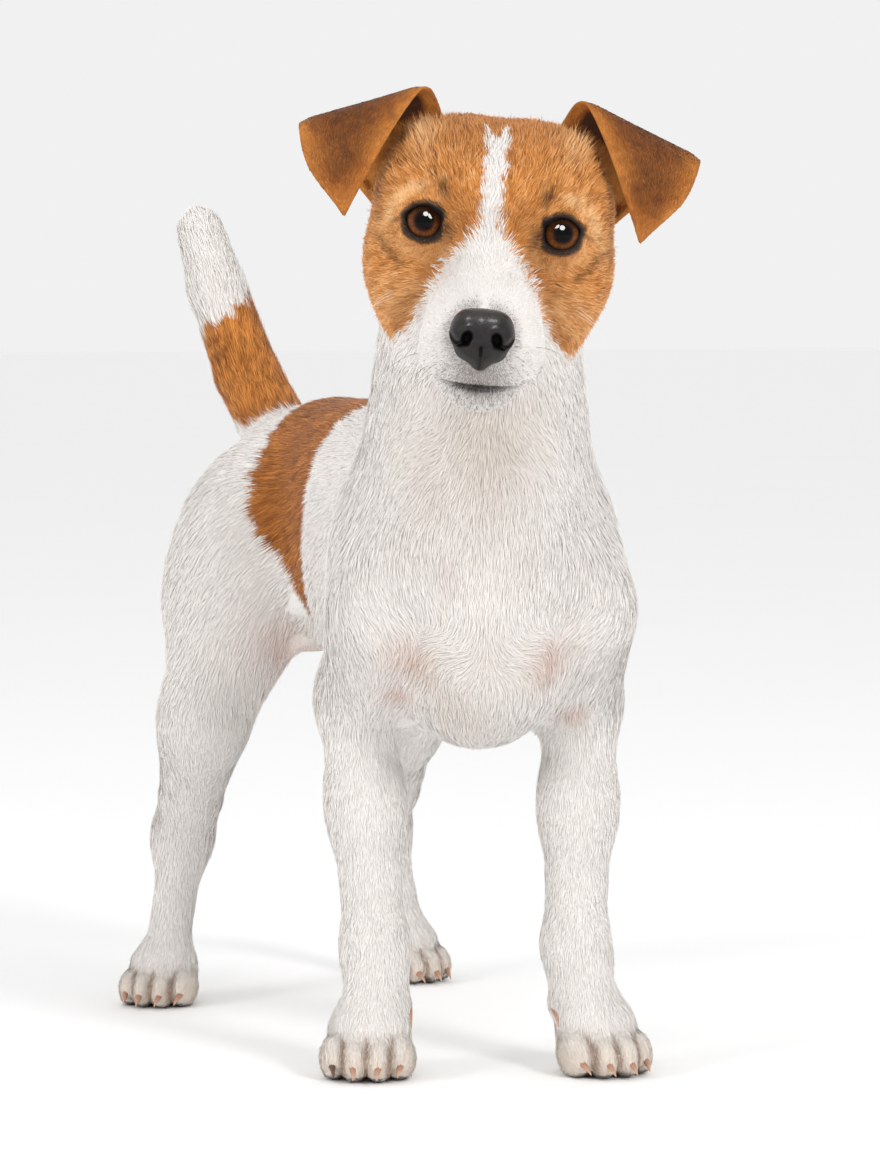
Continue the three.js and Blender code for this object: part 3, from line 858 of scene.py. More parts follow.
def read(items: bpy.types.bpy_prop_collection, key: str, width: int, kind: type = np.float32) -> np.ndarray:
    """One property of every item of a mesh, in rows of this width."""
    out = np.empty(len(items) * width, kind)
    items.foreach_get(key, out)
    return out.reshape(-1, width)


def coordinates(mesh: bpy.types.Mesh) -> Points:
    """The places of a mesh's vertices."""
    return read(mesh.vertices, "co", 3, float)


def place(mesh: bpy.types.Mesh, points: Points) -> None:
    """Moves a mesh's vertices to these points."""
    mesh.vertices.foreach_set("co", points.astype(np.float32).ravel())
    mesh.update()


def piece(name: str, mesh: bpy.types.Mesh, material: bpy.types.Material | None = None) -> bpy.types.Object:
    """A finished smooth object with this mesh, at the origin, riding on the body.

    Args:
        name: the piece's name.
        mesh: its mesh, in metres.
        material: its finish.

    Returns:
        The object.
    """
    obj = linked(name, mesh)
    mesh.name = name
    mesh.shade_smooth()
    if material is not None:
        mesh.materials.append(material)
    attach(obj, BODY)
    return obj


def paint(mesh: bpy.types.Mesh, name: str, values: np.ndarray) -> None:
    """Writes a colour attribute on a mesh's vertices.

    Args:
        mesh: the mesh.
        name: the attribute's name.
        values: three numbers a vertex.
    """
    layer = mesh.color_attributes.new(name, "FLOAT_COLOR", "POINT")
    full = np.ones((len(values), 4), np.float32)
    full[:, :3] = values
    layer.data.foreach_set("color", full.ravel())


def linear(code: str) -> np.ndarray:
    """A colour such as "b5702f" in linear light."""
    c = np.array([int(code[i:i + 2], 16) for i in (0, 2, 4)]) / 255.0
    return np.where(c <= 0.04045, c / 12.92, ((c + 0.055) / 1.055) ** 2.4)


# ---- markings: what colour the dog is at every point, with some painted shade, for the skin and the coat alike ----

# Where the white coat is so thin that pink skin shows through: each place's middle, width and weight.
THIN_PLACES = (
    ((-43, -18, 206), 13, 1.0), ((16, -44, 205), 13, 1.0), ((-42, 6, 187), 8, 1.0), ((50, 2, 178), 7, 1.0),
    ((0, 236, 190), 26, 1.0), ((-24, 226, 200), 18, 1.0),
)
# Where the white coat parts and falls into shade, on the throat and along the chest.
HOLLOWS = (
    ((-35, -46, 250), 8, 0.3), ((0, -58, 256), 7, 0.2), ((-28, -76, 312), 26, 0.6),
    ((-46, -52, 296), 24, 0.35), ((-24, -60, 286), 22, 0.3), ((-22, -22, 186), 20, 0.35),
    ((-16, -50, 205), 14, 0.25),
)


def spread(p: Points, places: Sequence[tuple[Triple, float, float]],
           squash: Triple = (1.0, 1.0, 1.0)) -> Values:
    """How much points p lie in some of these places, told by middle, width and weight.

    Args:
        p: points of the dog.
        places: the places.
        squash: how far each axis counts.

    Returns:
        The strongest place's share at each point.
    """
    out = np.zeros(len(p))
    for middle, width, weight in places:
        off = (p - np.array(middle)) * squash
        out = np.maximum(out, weight * bump(np.linalg.norm(off, axis=1), width))
    return out


@dataclass(frozen=True)
class Palette:
    """The colours of the coat and of bare skin."""

    white: str = "e8e5e2"
    cream: str = "e6d6c4"
    tan: str = "d98f45"
    brown: str = "a3622a"
    russet: str = "99571f"
    deep: str = "4a2a18"
    pale: str = "ecc08a"
    black: str = "1d1817"
    grey: str = "7a716e"
    pink: str = "cfa998"
    rust: str = "8a6144"
    shade: str = "c9bcae"


@dataclass
class Markings:
    """The tan mask, saddle and tail of a white dog, and its darker and paler places."""

    figure: Figure
    palette: Palette = field(default_factory=Palette)
    blaze: tuple[tuple[float, float], ...] = (
        (-66, 45), (-55, 40), (-47.5, 32.8), (-31, 25.5), (-18.7, 20.5), (-12, 15), (-7.4, 10.5), (-2, 6.8),
        (2, 5.4), (8, 4.8), (60, 4.8))
    blaze_at: float = -1.4
    eye_at: float = 31.5
    nose_at: float = -0.6

    def __post_init__(self) -> None:
        """Draws the noises that break up the edges."""
        self.ragged = Noise(11, 9.0)
        self.cloud = Noise(12, 34.0)
        self.fleck = Noise(13, 5.0)
        self.lock = Noise(14, 2.6)
        self.wave = Noise(15, 6.5)

    def tan_mask(self, p: Points, q: Points, stray: Values) -> Values:
        """How tan the head is.

        Args:
            p: points of the dog.
            q: the same in the face's frame.
            stray: how far each tuft's colour strays over the edges, from -1 to 1.

        Returns:
            1 where it is tan and 0 where it is white.
        """
        rag = self.ragged(p) + 0.7 * self.fleck(p)
        fan = np.interp(q[:, 2], (-45.0, -22.0, -8.0, 12.0, 40.0), (1.6, 4.5, 4.5, 2.2, 1.4))
        half = np.interp(q[:, 2], *zip(*self.blaze))
        off = np.abs(q[:, 0] - self.blaze_at)
        fork = 46.0 - 4.0 * bump(off, 2.4) + 1.2 * rag
        white = np.where(q[:, 1] < 42.0, half - off + 1.2 * rag + fan * stray, -10.0)
        muzzle = ramp(-q[:, 1], 8.0, 18.0) * ramp(-q[:, 2], 20.0, 30.0)
        white = np.minimum(white + 6.0 * muzzle, fork - q[:, 2])
        back = q[:, 1] + 2.0
        bib = -60.0 + 0.10 * np.minimum(back, 40.0) + 0.5 * np.maximum(back - 44.0, 0.0)
        bib = bib + 1.6 * rag - q[:, 2] + 3.0 * stray
        return 1.0 - ramp(np.maximum(white, bib), -0.8, 0.8)

    def saddle_mask(self, p: Points) -> Values:
        """How tan the back is at points p."""
        s, y, z = SPINE.place(p).T
        rag = 2.0 * self.ragged(p)
        down = BACK - z
        left = ramp(s, -18.0, 18.0)
        front = 166.0 - 16.0 * left + 0.18 * down
        back = 247.0 - 0.26 * down + 3.0 * np.sin(down / 14.0)
        back -= 0.7 * np.maximum(down - 64.0, 0.0) * (1.0 - left)
        low = 200.0 + 12.0 * left
        inside = smooth_min(np.minimum(y - front, back - y), z - low, 6.0 + 44.0 * left) + rag
        spot = 15.0 - np.linalg.norm((p - np.array(SPINE.at(-40, 318, 246))) * (1.0, 1.0, 0.6), axis=1)
        return ramp(np.maximum(inside, spot + rag), -1.0, 1.0)

    def tail_mask(self, p: Points) -> Values:
        """How tan the tail is at points p."""
        across = 0.93 * p[:, 0] - 0.37 * p[:, 1] + 141.6
        edge = 367.0 + 0.8 * across + 5.0 * self.ragged(p)
        return ramp(edge - p[:, 2], -1.5, 1.5) * ramp(p[:, 2] - 0.3 * (p[:, 1] - 310.0), 312, 316)

    def colour(self, p: Points, shares: np.ndarray, flap: Values, rng: np.random.Generator | None = None,
               root: Points | None = None) -> np.ndarray:
        """The colour of skin or coat at points p, in linear light.

        Args:
            p: points of the dog.
            shares: the regions' shares at these points.
            flap: how dark an ear's flap is there, as painted shade.
            rng: for tufts, the draw that makes each one a little different.
            root: for tufts, where they grow.

        Returns:
            Three numbers a point.
        """
        tone = {name: linear(code) for name, code in vars(self.palette).items()}
        root = p if root is None else root
        face = self.figure.face.inside(p)
        ear = shares[:, Part.EAR]
        head = np.clip(shares[:, Part.HEAD] + ear, 0, 1)
        crown = ramp(face[:, 2] - 0.35 * np.maximum(face[:, 1] - 45.0, 0.0), -26.0, -22.0)
        crown *= (face[:, 1] < 92.0 + 5.0 * self.ragged(p)) * (np.linalg.norm(face, axis=1) < 150)
        on_head = np.maximum(ramp(head, 0.25, 0.5) * (face[:, 1] < 110), crown)
        tail = shares[:, Part.TAIL]
        draw = rng.uniform(0.0, 1.0, (5, len(p))) if rng is not None else np.full((5, len(p)), 0.5)
        tan = np.maximum(self.tan_mask(p, face, 2.0 * draw[4] - 1.0), ramp(ear, 0.3, 0.5)) * on_head
        tan = np.maximum(tan, self.saddle_mask(p) * ramp(p[:, 1], 60, 90) * (1.0 - ramp(tail, 0.4, 0.6)))
        tan = np.maximum(tan, self.tail_mask(p) * ramp(tail, 0.4, 0.6))
        cloud = self.cloud(p)

        def mix(base: np.ndarray, name: str, amount: Values) -> np.ndarray:
            """Colours with an amount of a tone mixed in."""
            return base + (tone[name] - base) * np.clip(amount, 0.0, 1.0)[:, None]

        fur = np.repeat(tone["tan"][None], len(p), axis=0)
        lock = 0.6 * self.lock(root) + 0.5 * self.wave(root)
        fur = mix(fur, "brown", 0.22 + 0.25 * cloud + 0.9 * (draw[0] - 0.5) - 0.5 * lock
                  + 0.8 * (1.0 - on_head) * (1.0 - 0.75 * tail))
        fur = mix(fur, "deep", (0.30 + 0.15 * (1.0 - on_head)) * np.maximum(-lock, 0.0) * (1.0 - 0.5 * ear))
        x, y, z = face.T
        off = np.abs(x)
        eye = np.hypot(off - self.eye_at, z)
        plain = on_head * (1.0 - ear)
        fur = mix(fur, "pale", plain * (0.30 * np.maximum(lock + 0.1, 0.0) + 0.45 * (draw[1] > 0.88)))
        edge = np.interp(z, *zip(*self.blaze)) - np.abs(x - self.blaze_at)
        fur = mix(fur, "brown", plain * (y < 30) * 0.75 * bump(edge + 5.5, 5.0) * ramp(-z, 12.0, 26.0))
        fur = mix(fur, "brown", plain * 0.5 * bump(np.hypot(off - 15.0, z - 6.0), 9.0))
        # The crown is darker brown, and the dog's right side of it more so as painted shade.
        fur = mix(fur, "brown", plain * (0.42 - 0.22 * ramp(x, 0.0, 16.0)) * ramp(z, 26, 42))
        fur = mix(fur, "deep", on_head * (1.0 - ear) * 0.5 * (draw[3] < 0.06))
        fur = mix(fur, "pale", plain * (
            0.9 * bump(eye - 16.5, 3.0) * ramp(z + 0.5 * (off - self.eye_at), 4.0, 12.0)
            * ramp(off, 29.0, 35.0)
            + 0.4 * bump(np.hypot((off - 37) / 1.3, z + 36), 13)
            + 0.3 * bump(eye - 15.5, 3.0) * ramp(-z, 6.0, 11.0) + 0.3 * bump(np.hypot(off - 52, z + 4), 8)
            + 0.8 * bump(np.hypot(off - 35, (z - 44) / 1.6), 7)) * (0.45 + 0.7 * draw[1] + 0.4 * lock))
        fur = mix(fur, "deep", plain * (
            0.5 * bump(eye - 21.5, 2.2) * ramp(-z, 4.0, 9.0) * ramp(off, 38.0, 42.0)
            + 0.75 * bump(np.hypot((off - 24 - 0.3 * (z - 16)), (z - 16) / 1.7), 3.0)
            + 0.5 * bump(z - 0.8 + 0.35 * (off - 41), 1.3) * ramp(off, 39.0, 41.0)
            * (1.0 - ramp(off, 45.0, 50.0))
            + 0.6 * bump(np.hypot((off - 20.5) / 0.8, (z + 4) / 1.2), 4.5)) * (0.5 + draw[2]))
        # The ears are russet; their flaps are painted darker in the middle and darkest on the lining, as
        # painted shade.
        fur = mix(fur, "russet", ear * (0.34 + 0.66 * flap + 0.2 * cloud + 0.25 * lock
                                        + 0.4 * (draw[1] - 0.5)))
        fur = mix(fur, "deep", ear * (0.62 * flap ** 2 * (0.7 + 0.6 * draw[2] - 0.3 * lock)
                                      + 0.22 * np.maximum(self.ragged(p), 0.0)))
        fur = mix(fur, "deep", ramp(flap, 1.0, 1.3) * (0.5 + 0.6 * draw[2]))

        coat = np.repeat(tone["white"][None], len(p), axis=0)
        stain = np.zeros(len(p))
        for paw in self.figure.paws:
            own = paw.inside(p)
            near = np.hypot(own[:, 0], own[:, 1] + 8) < 36
            stain = np.maximum(stain, near * (1.0 - ramp(own[:, 2], 8, 26)))
        coat = mix(coat, "cream", 0.55 * stain + 0.10 * cloud * (rng is None) + 0.18 * draw[3] ** 2)
        coat = mix(coat, "rust", self.clefts(p) * (0.4 + 0.5 * draw[1]))
        coat = mix(coat, "pink", 0.7 * spread(p, THIN_PLACES) * (0.5 + 0.6 * draw[1]))
        coat = mix(coat, "shade", spread(p, HOLLOWS, (1.0, 1.0, 0.6)))
        x, y, z = self.figure.face.inside(root).T
        across = x - self.nose_at
        ring = np.hypot(across, z + 50.6) - 14.5
        round_nose = 0.5 * bump(ring, 3.0) * ramp(np.abs(across), 0.0, 4.0)
        speckle = np.maximum(bump(np.hypot(x * 0.85, z + 68), 12.5) * (z > -86), round_nose)
        speckle = np.maximum(speckle, bump(across, 3.2) * (z < -60) * (z > -76))
        speckle *= (y < -18) * on_head
        even = 0.5 if rng is not None else 1.0
        coat = mix(coat, "grey", np.where(draw[2] < 0.75 * speckle, 0.8, even * speckle))
        out = coat + (fur - coat) * tan[:, None]
        bare = self.bare(root)
        corner = bump(np.hypot(x - 29.0, (z + 66.0) / 2.0), 2.6) * (y < 20) * on_head
        out = mix(out, "deep", 0.8 * corner)
        if rng is not None:
            bare = 0.94 * ramp(bare + 0.5 * (draw[0] - 0.5), 0.10, 1.0)
        return mix(out, "black", bare)

    def clefts(self, p: Points) -> Values:
        """The rusty clefts between the toes."""
        out = np.zeros(len(p))
        for paw in self.figure.paws:
            x, y, z = paw.inside(p).T
            for cleft in (-11.6, 0.0, 11.6):
                line = bump(x - cleft * (1.0 + 0.004 * (z - 8.0)), 1.7) * ramp(-y, 8.0, 16.0)
                out = np.maximum(out, line * ramp(24.0 - z, 0.0, 7.0) * (z > 0.0))
        return out

    def bare(self, p: Points) -> Values:
        """Where black skin shows: the lids, the lips, under the nose and the soles."""
        figure = self.figure
        out = np.zeros(len(p))
        for side in SIDES.values():
            ring, q = figure.eye_ring(p, side)
            x = q[:, 0] * side
            edge = 1.08 + 0.03 * self.fleck(p) + 0.14 * ramp(-q[:, 2], 0.0, 7.0)
            rim = 1.0 - ramp(ring, edge, edge + 0.30)
            inner = 0.60 * bump(np.hypot((x + 12.0) / 1.1, (q[:, 2] + 2.6) / 1.2), 2.6)
            out = np.maximum(out, np.maximum(rim, inner) * (q[:, 1] < 12) * (q[:, 1] > -16))
        above, line = figure.mouth(p)
        q = figure.skull.inside(p)
        tall = 5.0 * np.clip(1.0 - np.abs(q[:, 0] + 0.6) / 15.0, 0.0, 1.0) ** 0.8
        lips = 0.9 * line * (1.0 - ramp(np.abs(above - 0.05 * tall) - 0.5 * tall, -1.6, 3.6))
        lips *= 1.0 - 0.75 * ramp(np.abs(q[:, 0]), 10.0, 18.0)
        out = np.maximum(out, lips)
        out = np.maximum(out, (Nose.reach(q) < -1.2) * 1.0)
        soles = 1.0 - ramp(p[:, 2], 1.5, 4.0)
        return np.maximum(out, 0.8 * soles)


# ---- the skin ----

@dataclass
class Skin:
    """One skin over the whole body, remeshed from the solids and shaped to the figure."""

    figure: Figure
    space: Space
    markings: Markings
    voxel: float = 2.8
    overlap: float = 0.45
    fine: Triple = (30, 30, 8)
    finest: Triple = (18, 0, 3.5)

    def flesh(self) -> list[str]:
        """The solids that the skin replaces."""
        apart = ("eye", "claw", "nose")
        return [name for name in frame["nodes"] if not name.startswith(apart)]

    def rough(self) -> bpy.types.Mesh:
        """The body's solids, grown together into one closed mesh."""
        whole = bmesh.new()
        for name, node in frame["nodes"].items():
            if name.startswith(("claw", "ear")):
                continue
            copy = opened(node.data)
            bmesh.ops.remove_doubles(copy, verts=copy.verts, dist=WELD)
            copy.normal_update()
            for vert in copy.verts:
                vert.co += vert.normal * self.overlap / MM
            bulk = closed(copy, "bulk")
            whole.from_mesh(bulk)
            bpy.data.meshes.remove(bulk)
        return self.remeshed(closed(whole, "rough"), self.voxel)

    @staticmethod
    def remeshed(mesh: bpy.types.Mesh, voxel: float) -> bpy.types.Mesh:
        """A mesh grown together in cells of an even size.

        Args:
            mesh: closed shells that may overlap; it is removed.
            voxel: the size of the cells, in millimetres.

        Returns:
            The new mesh, of four-sided faces.
        """
        obj = linked("rough", mesh)
        remesh = obj.modifiers.new("cells", "REMESH")
        remesh.mode = "VOXEL"
        remesh.voxel_size = voxel / MM
        graph = bpy.context.evaluated_depsgraph_get()
        out = bpy.data.meshes.new_from_object(obj.evaluated_get(graph))
        bpy.data.objects.remove(obj)
        bpy.data.meshes.remove(mesh)
        return out

    @staticmethod
    def largest(bm: bmesh.types.BMesh) -> None:
        """Keeps only the largest connected shell of a mesh."""
        left = set(bm.verts)
        best: set[bmesh.types.BMVert] = set()
        while left:
            shell: set[bmesh.types.BMVert] = set()
            queue = [left.pop()]
            while queue:
                vert = queue.pop()
                shell.add(vert)
                for edge in vert.link_edges:
                    other = edge.other_vert(vert)
                    if other in left:
                        left.discard(other)
                        queue.append(other)
            best = max(best, shell, key=len)
        bmesh.ops.delete(bm, geom=[v for v in bm.verts if v not in best], context="VERTS")

    def finer(self, bm: bmesh.types.BMesh, near: Callable[[Points], np.ndarray]) -> None:
        """Halves the cells of one region and settles them on the skin.

        Args:
            bm: the mesh, in millimetres.
            near: tells which points lie in the region.
        """
        inside = near(spots(bm))
        inside[:len(self.ear)] &= self.ear == 0.0
        bm.verts.index_update()
        edges = [e for e in bm.edges if inside[e.verts[0].index] and inside[e.verts[1].index]]
        bmesh.ops.subdivide_edges(bm, edges=edges, cuts=1, use_grid_fill=True)
        loose = [f for f in bm.faces if len(f.verts) > 4]
        bmesh.ops.triangulate(bm, faces=loose)
        bm.verts.index_update()
        inside = near(spots(bm))
        inside[:len(self.ear)] &= self.ear == 0.0
        verts = [v for v, moves in zip(bm.verts, inside) if moves]
        move(verts, self.figure.settled(np.array([v.co for v in verts]), 3, 1.0))

    def near_features(self, p: Points, eye: float, nose: float, mouth: float) -> np.ndarray:
        """Which points lie near an eye, the nose or the mouth's line, within these reaches."""
        out = np.zeros(len(p), bool)
        for side in SIDES.values():
            out |= self.figure.head.from_eye(p, side) < eye
        q = self.figure.skull.inside(p)
        out |= np.linalg.norm(q - np.array([0, -63, -34]), axis=1) < nose
        above, line = self.figure.mouth(p)
        return out | ((np.abs(above) < mouth) & (line > 0.3) & (q[:, 1] < 0))

    def near_toes(self, p: Points) -> np.ndarray:
        """Which points lie on the toes."""
        out = np.zeros(len(p), bool)
        for paw in self.figure.paws:
            own = paw.inside(p)
            out |= (np.hypot(own[:, 0], own[:, 1] + 12) < 30) & (own[:, 2] < 26) & (own[:, 2] > 1.0)
        return out

    def open_eyes(self, p: Points) -> Points:
        """Presses the skin in behind each eye, and draws its points to the lids' edge."""
        p = p.copy()
        face = self.figure.face
        for side in SIDES.values():
            ring, q = self.figure.eye_ring(p, side)
            near = (ring < 1.6) & (q[:, 1] < 4.0)
            gap = ring - 1.0
            pull = np.where(np.abs(gap) < 0.12, gap * np.abs(gap) / 0.12, gap) - gap
            q[:, 0] += np.where(near, q[:, 0] * pull / np.maximum(ring, 0.2), 0.0)
            q[:, 2] += np.where(near, q[:, 2] * pull / np.maximum(ring, 0.2), 0.0)
            sunk = 2.8 * ramp(1.0 - ring, 0.0, 0.08) + 8.0 * ramp(1.0 - ring, 0.05, 0.5)
            q[:, 1] += np.where(near, sunk, 0.0)
            home = q + np.array([side * self.figure.head.eye_side, self.figure.head.eye_depth, 0.0])
            p[near] = face.outside(home[near])
        return p

    def with_ears(self, mesh: bpy.types.Mesh) -> None:
        """Joins the flaps of the ears to the skin's mesh, and keeps the lie and shade of each.

        Args:
            mesh: the body's skin, in millimetres.
        """
        count = len(mesh.vertices)
        bm = opened(mesh)
        for ear in self.figure.ears.values():
            flap = closed(ear.mesh, "flap")
            bm.from_mesh(flap)
            bpy.data.meshes.remove(flap)
        closed(bm, mesh)
        total = len(mesh.vertices)
        self.ear = np.zeros(total)
        self.flap = np.zeros(total)
        self.fold = np.zeros(total)
        self.ear_way = np.zeros((total, 3))
        for ear in self.figure.ears.values():
            here = slice(count, count + len(ear.along))
            self.ear[here] = ramp(ear.along, 0.02, 0.12)
            # The middle of each flap, and more so its lining towards the skull, are darkened as painted
            # shade.
            middle = (1.0 - np.abs(2 * ear.across - 1.0) ** 2.4) * ramp(ear.along, 0.34, 0.62) * 0.95
            self.flap[here] = np.maximum(middle * ramp(1.0 - ear.along, 0.02, 0.16), 1.4 * ear.lining)
            edge = 0.62 * (1.0 - ramp(ear.rim, 0.0, 0.26)) * ramp(ear.along, 0.1, 0.3)
            self.fold[here] = np.maximum(0.5 * bump(ear.along - 0.46, 0.16), edge)
            self.ear_way[here] = ear.ways
            count += len(ear.along)

    def build(self) -> bpy.types.Object:
        """Makes the skin."""
        mesh = self.rough()
        bm = opened(mesh)
        self.largest(bm)
        closed(bm, mesh)
        place(mesh, self.figure.settled(self.space.own(coordinates(mesh)), 3, 3.0))
        bm = opened(mesh)
        soften(bm)
        closed(bm, mesh)
        place(mesh, self.figure.settled(coordinates(mesh), 2, 1.5))
        LOG.info("skin: %d cells", len(mesh.polygons))
        self.with_ears(mesh)
        self.unwrap(mesh)
        LOG.info("skin: unwrapped")
        bm = opened(mesh)
        self.finer(bm, lambda p: self.near_features(p, *self.fine) | self.near_toes(p))
        self.finer(bm, lambda p: self.near_features(p, *self.finest))
        bmesh.ops.triangulate(bm, faces=bm.faces)
        closed(bm, mesh)
        added = len(mesh.vertices) - len(self.ear)
        self.ear, self.flap, self.fold = (np.pad(a, (0, added)) for a in (self.ear, self.flap, self.fold))
        self.ear_way = np.pad(self.ear_way, ((0, added), (0, 0)))
        p = self.open_eyes(coordinates(mesh))
        p[:, 2] = np.maximum(p[:, 2], 0.0)
        self.points = p
        self.shares = self.figure.shares(p, self.ear)
        paint(mesh, "tint", self.markings.colour(p, self.shares, self.flap))
        place(mesh, p)
        self.normals = read(mesh.vertex_normals, "vector", 3).astype(float)
        self.corners = read(mesh.loops, "vertex_index", 1, np.int32).reshape(-1, 3)
        self.edges = read(mesh.edges, "vertices", 2, np.int32)
        self.map = read(mesh.uv_layers[BAKE_MAP].data, "uv", 2).reshape(-1, 3, 2).astype(float)
        place(mesh, self.space.metres(p))
        skin = piece("skin", mesh)
        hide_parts(*self.flesh())
        LOG.info("skin: %d triangles", len(mesh.polygons))
        return skin

    @staticmethod
    def unwrap(mesh: bpy.types.Mesh) -> None:
        """Lays the skin out flat, as the map that its own bake and the coat's share."""
        obj = linked("flat", mesh)
        bpy.context.view_layer.objects.active = obj
        obj.select_set(True)
        bpy.ops.object.mode_set(mode="EDIT")
        bpy.ops.mesh.select_all(action="SELECT")
        bpy.ops.uv.smart_project(angle_limit=math.radians(66), island_margin=0.003)
        bpy.ops.object.mode_set(mode="OBJECT")
        mesh.uv_layers[0].name = BAKE_MAP
        bpy.data.objects.remove(obj)


# ---- the coat ----

@dataclass(frozen=True)
class Growth:
    """How a region's coat grows: a tuft's length and width, tufts to a square millimetre, and lift."""

    length: float
    width: float
    density: float
    lift: float


GROWTH = {
    Part.TRUNK: Growth(11.0, 0.41, 1.5, 5.5),
    Part.NECK: Growth(10.5, 0.39, 1.75, 5.5),
    Part.HEAD: Growth(6.5, 0.36, 3.0, 10.0),
    Part.TAIL: Growth(10.0, 0.48, 2.3, 9.0),
    Part.FORE_UPPER: Growth(9.0, 0.41, 1.6, 6.0),
    Part.FORE_LOWER: Growth(6.5, 0.39, 1.95, 6.5),
    Part.HIND_UPPER: Growth(10.5, 0.41, 1.5, 6.0),
    Part.HIND_LOWER: Growth(6.5, 0.39, 1.95, 6.5),
    Part.PAW: Growth(4.4, 0.38, 2.6, 10.0),
    Part.EAR: Growth(4.4, 0.34, 3.2, 5.0),
}


@dataclass(frozen=True)
class Comb:
    """A place where the coat is combed its own way."""

    at: Triple
    way: Triple
    reach: float
    weight: float = 2.5


COMBS: tuple[Comb, ...] = (
    # throat: the coat fans out to both sides under the chin
    Comb((-52, -58, 313), (-0.41, 0.90, -0.16), 15),
    Comb((-53, -41, 297), (-0.16, 0.87, -0.48), 15),
    Comb((-34, -70, 298), (0.03, 0.47, -0.88), 13),
    Comb((-13, -82, 313), (0.97, 0.19, -0.18), 13),
    Comb((11, -68, 298), (0.58, 0.53, -0.62), 15),
    Comb((-39, -54, 276), (0.05, 0.48, -0.88), 13),
    Comb((-15, -64, 272), (0.21, 0.40, -0.89), 13),
    # upper chest: down, and a little in towards the breastbone
    Comb((-46, -36, 252), (0.37, -0.35, -0.86), 14),
    Comb((-59, -18, 248), (0.12, -0.34, -0.93), 15),
    Comb((-25, -53, 242), (0.04, 0.07, -1.00), 13),
    Comb((-4, -59, 251), (-0.20, 0.12, -0.97), 13),
    Comb((17, -55, 252), (-0.34, -0.09, -0.94), 15),
    # the ridge between the points of the shoulders
    Comb((-67, -11, 237), (0.49, -0.72, -0.49), 12),
    Comb((-52, -24, 228), (0.73, -0.56, -0.40), 9),
    Comb((43, -46, 228), (-0.93, -0.13, -0.35), 12),
    Comb((26, -48, 224), (-0.92, -0.22, -0.31), 8),
    # below the ridge: out from the midline and up to a whorl on each side
    Comb((-26, -47, 212), (-0.77, 0.39, 0.50), 9),
    Comb((-33, -42, 219), (-0.69, 0.55, 0.47), 7),
    Comb((-9, -54, 211), (0.83, -0.26, 0.50), 9),
    Comb((-1, -56, 219), (0.88, -0.02, 0.48), 7),
    Comb((-41, -34, 223), (-0.24, -0.15, 0.96), 5),
    Comb((9, -54, 223), (0.09, -0.16, 0.98), 5),
    Comb((-45, -23, 214), (-0.24, 0.70, -0.67), 9),
    Comb((-41, -11, 200), (-0.32, 0.91, -0.25), 10),
    Comb((10, -47, 200), (0.65, 0.51, -0.56), 9),
    Comb((24, -42, 209), (0.28, 0.52, -0.81), 9),
    Comb((-25, -23, 182), (0.30, 0.55, -0.77), 12),
    Comb((-1, -32, 178), (0.09, 0.74, -0.66), 12),
    # the creases inside the elbows, and the fronts of the arms
    Comb((-41, 9, 186), (-0.62, 0.73, -0.27), 8),
    Comb((52, 0, 176), (0.73, 0.48, -0.49), 8),
    Comb((-49, 35, 163), (0.15, 0.09, -0.98), 14),
    Comb((59, 6, 160), (-0.13, -0.08, -0.99), 14),
)


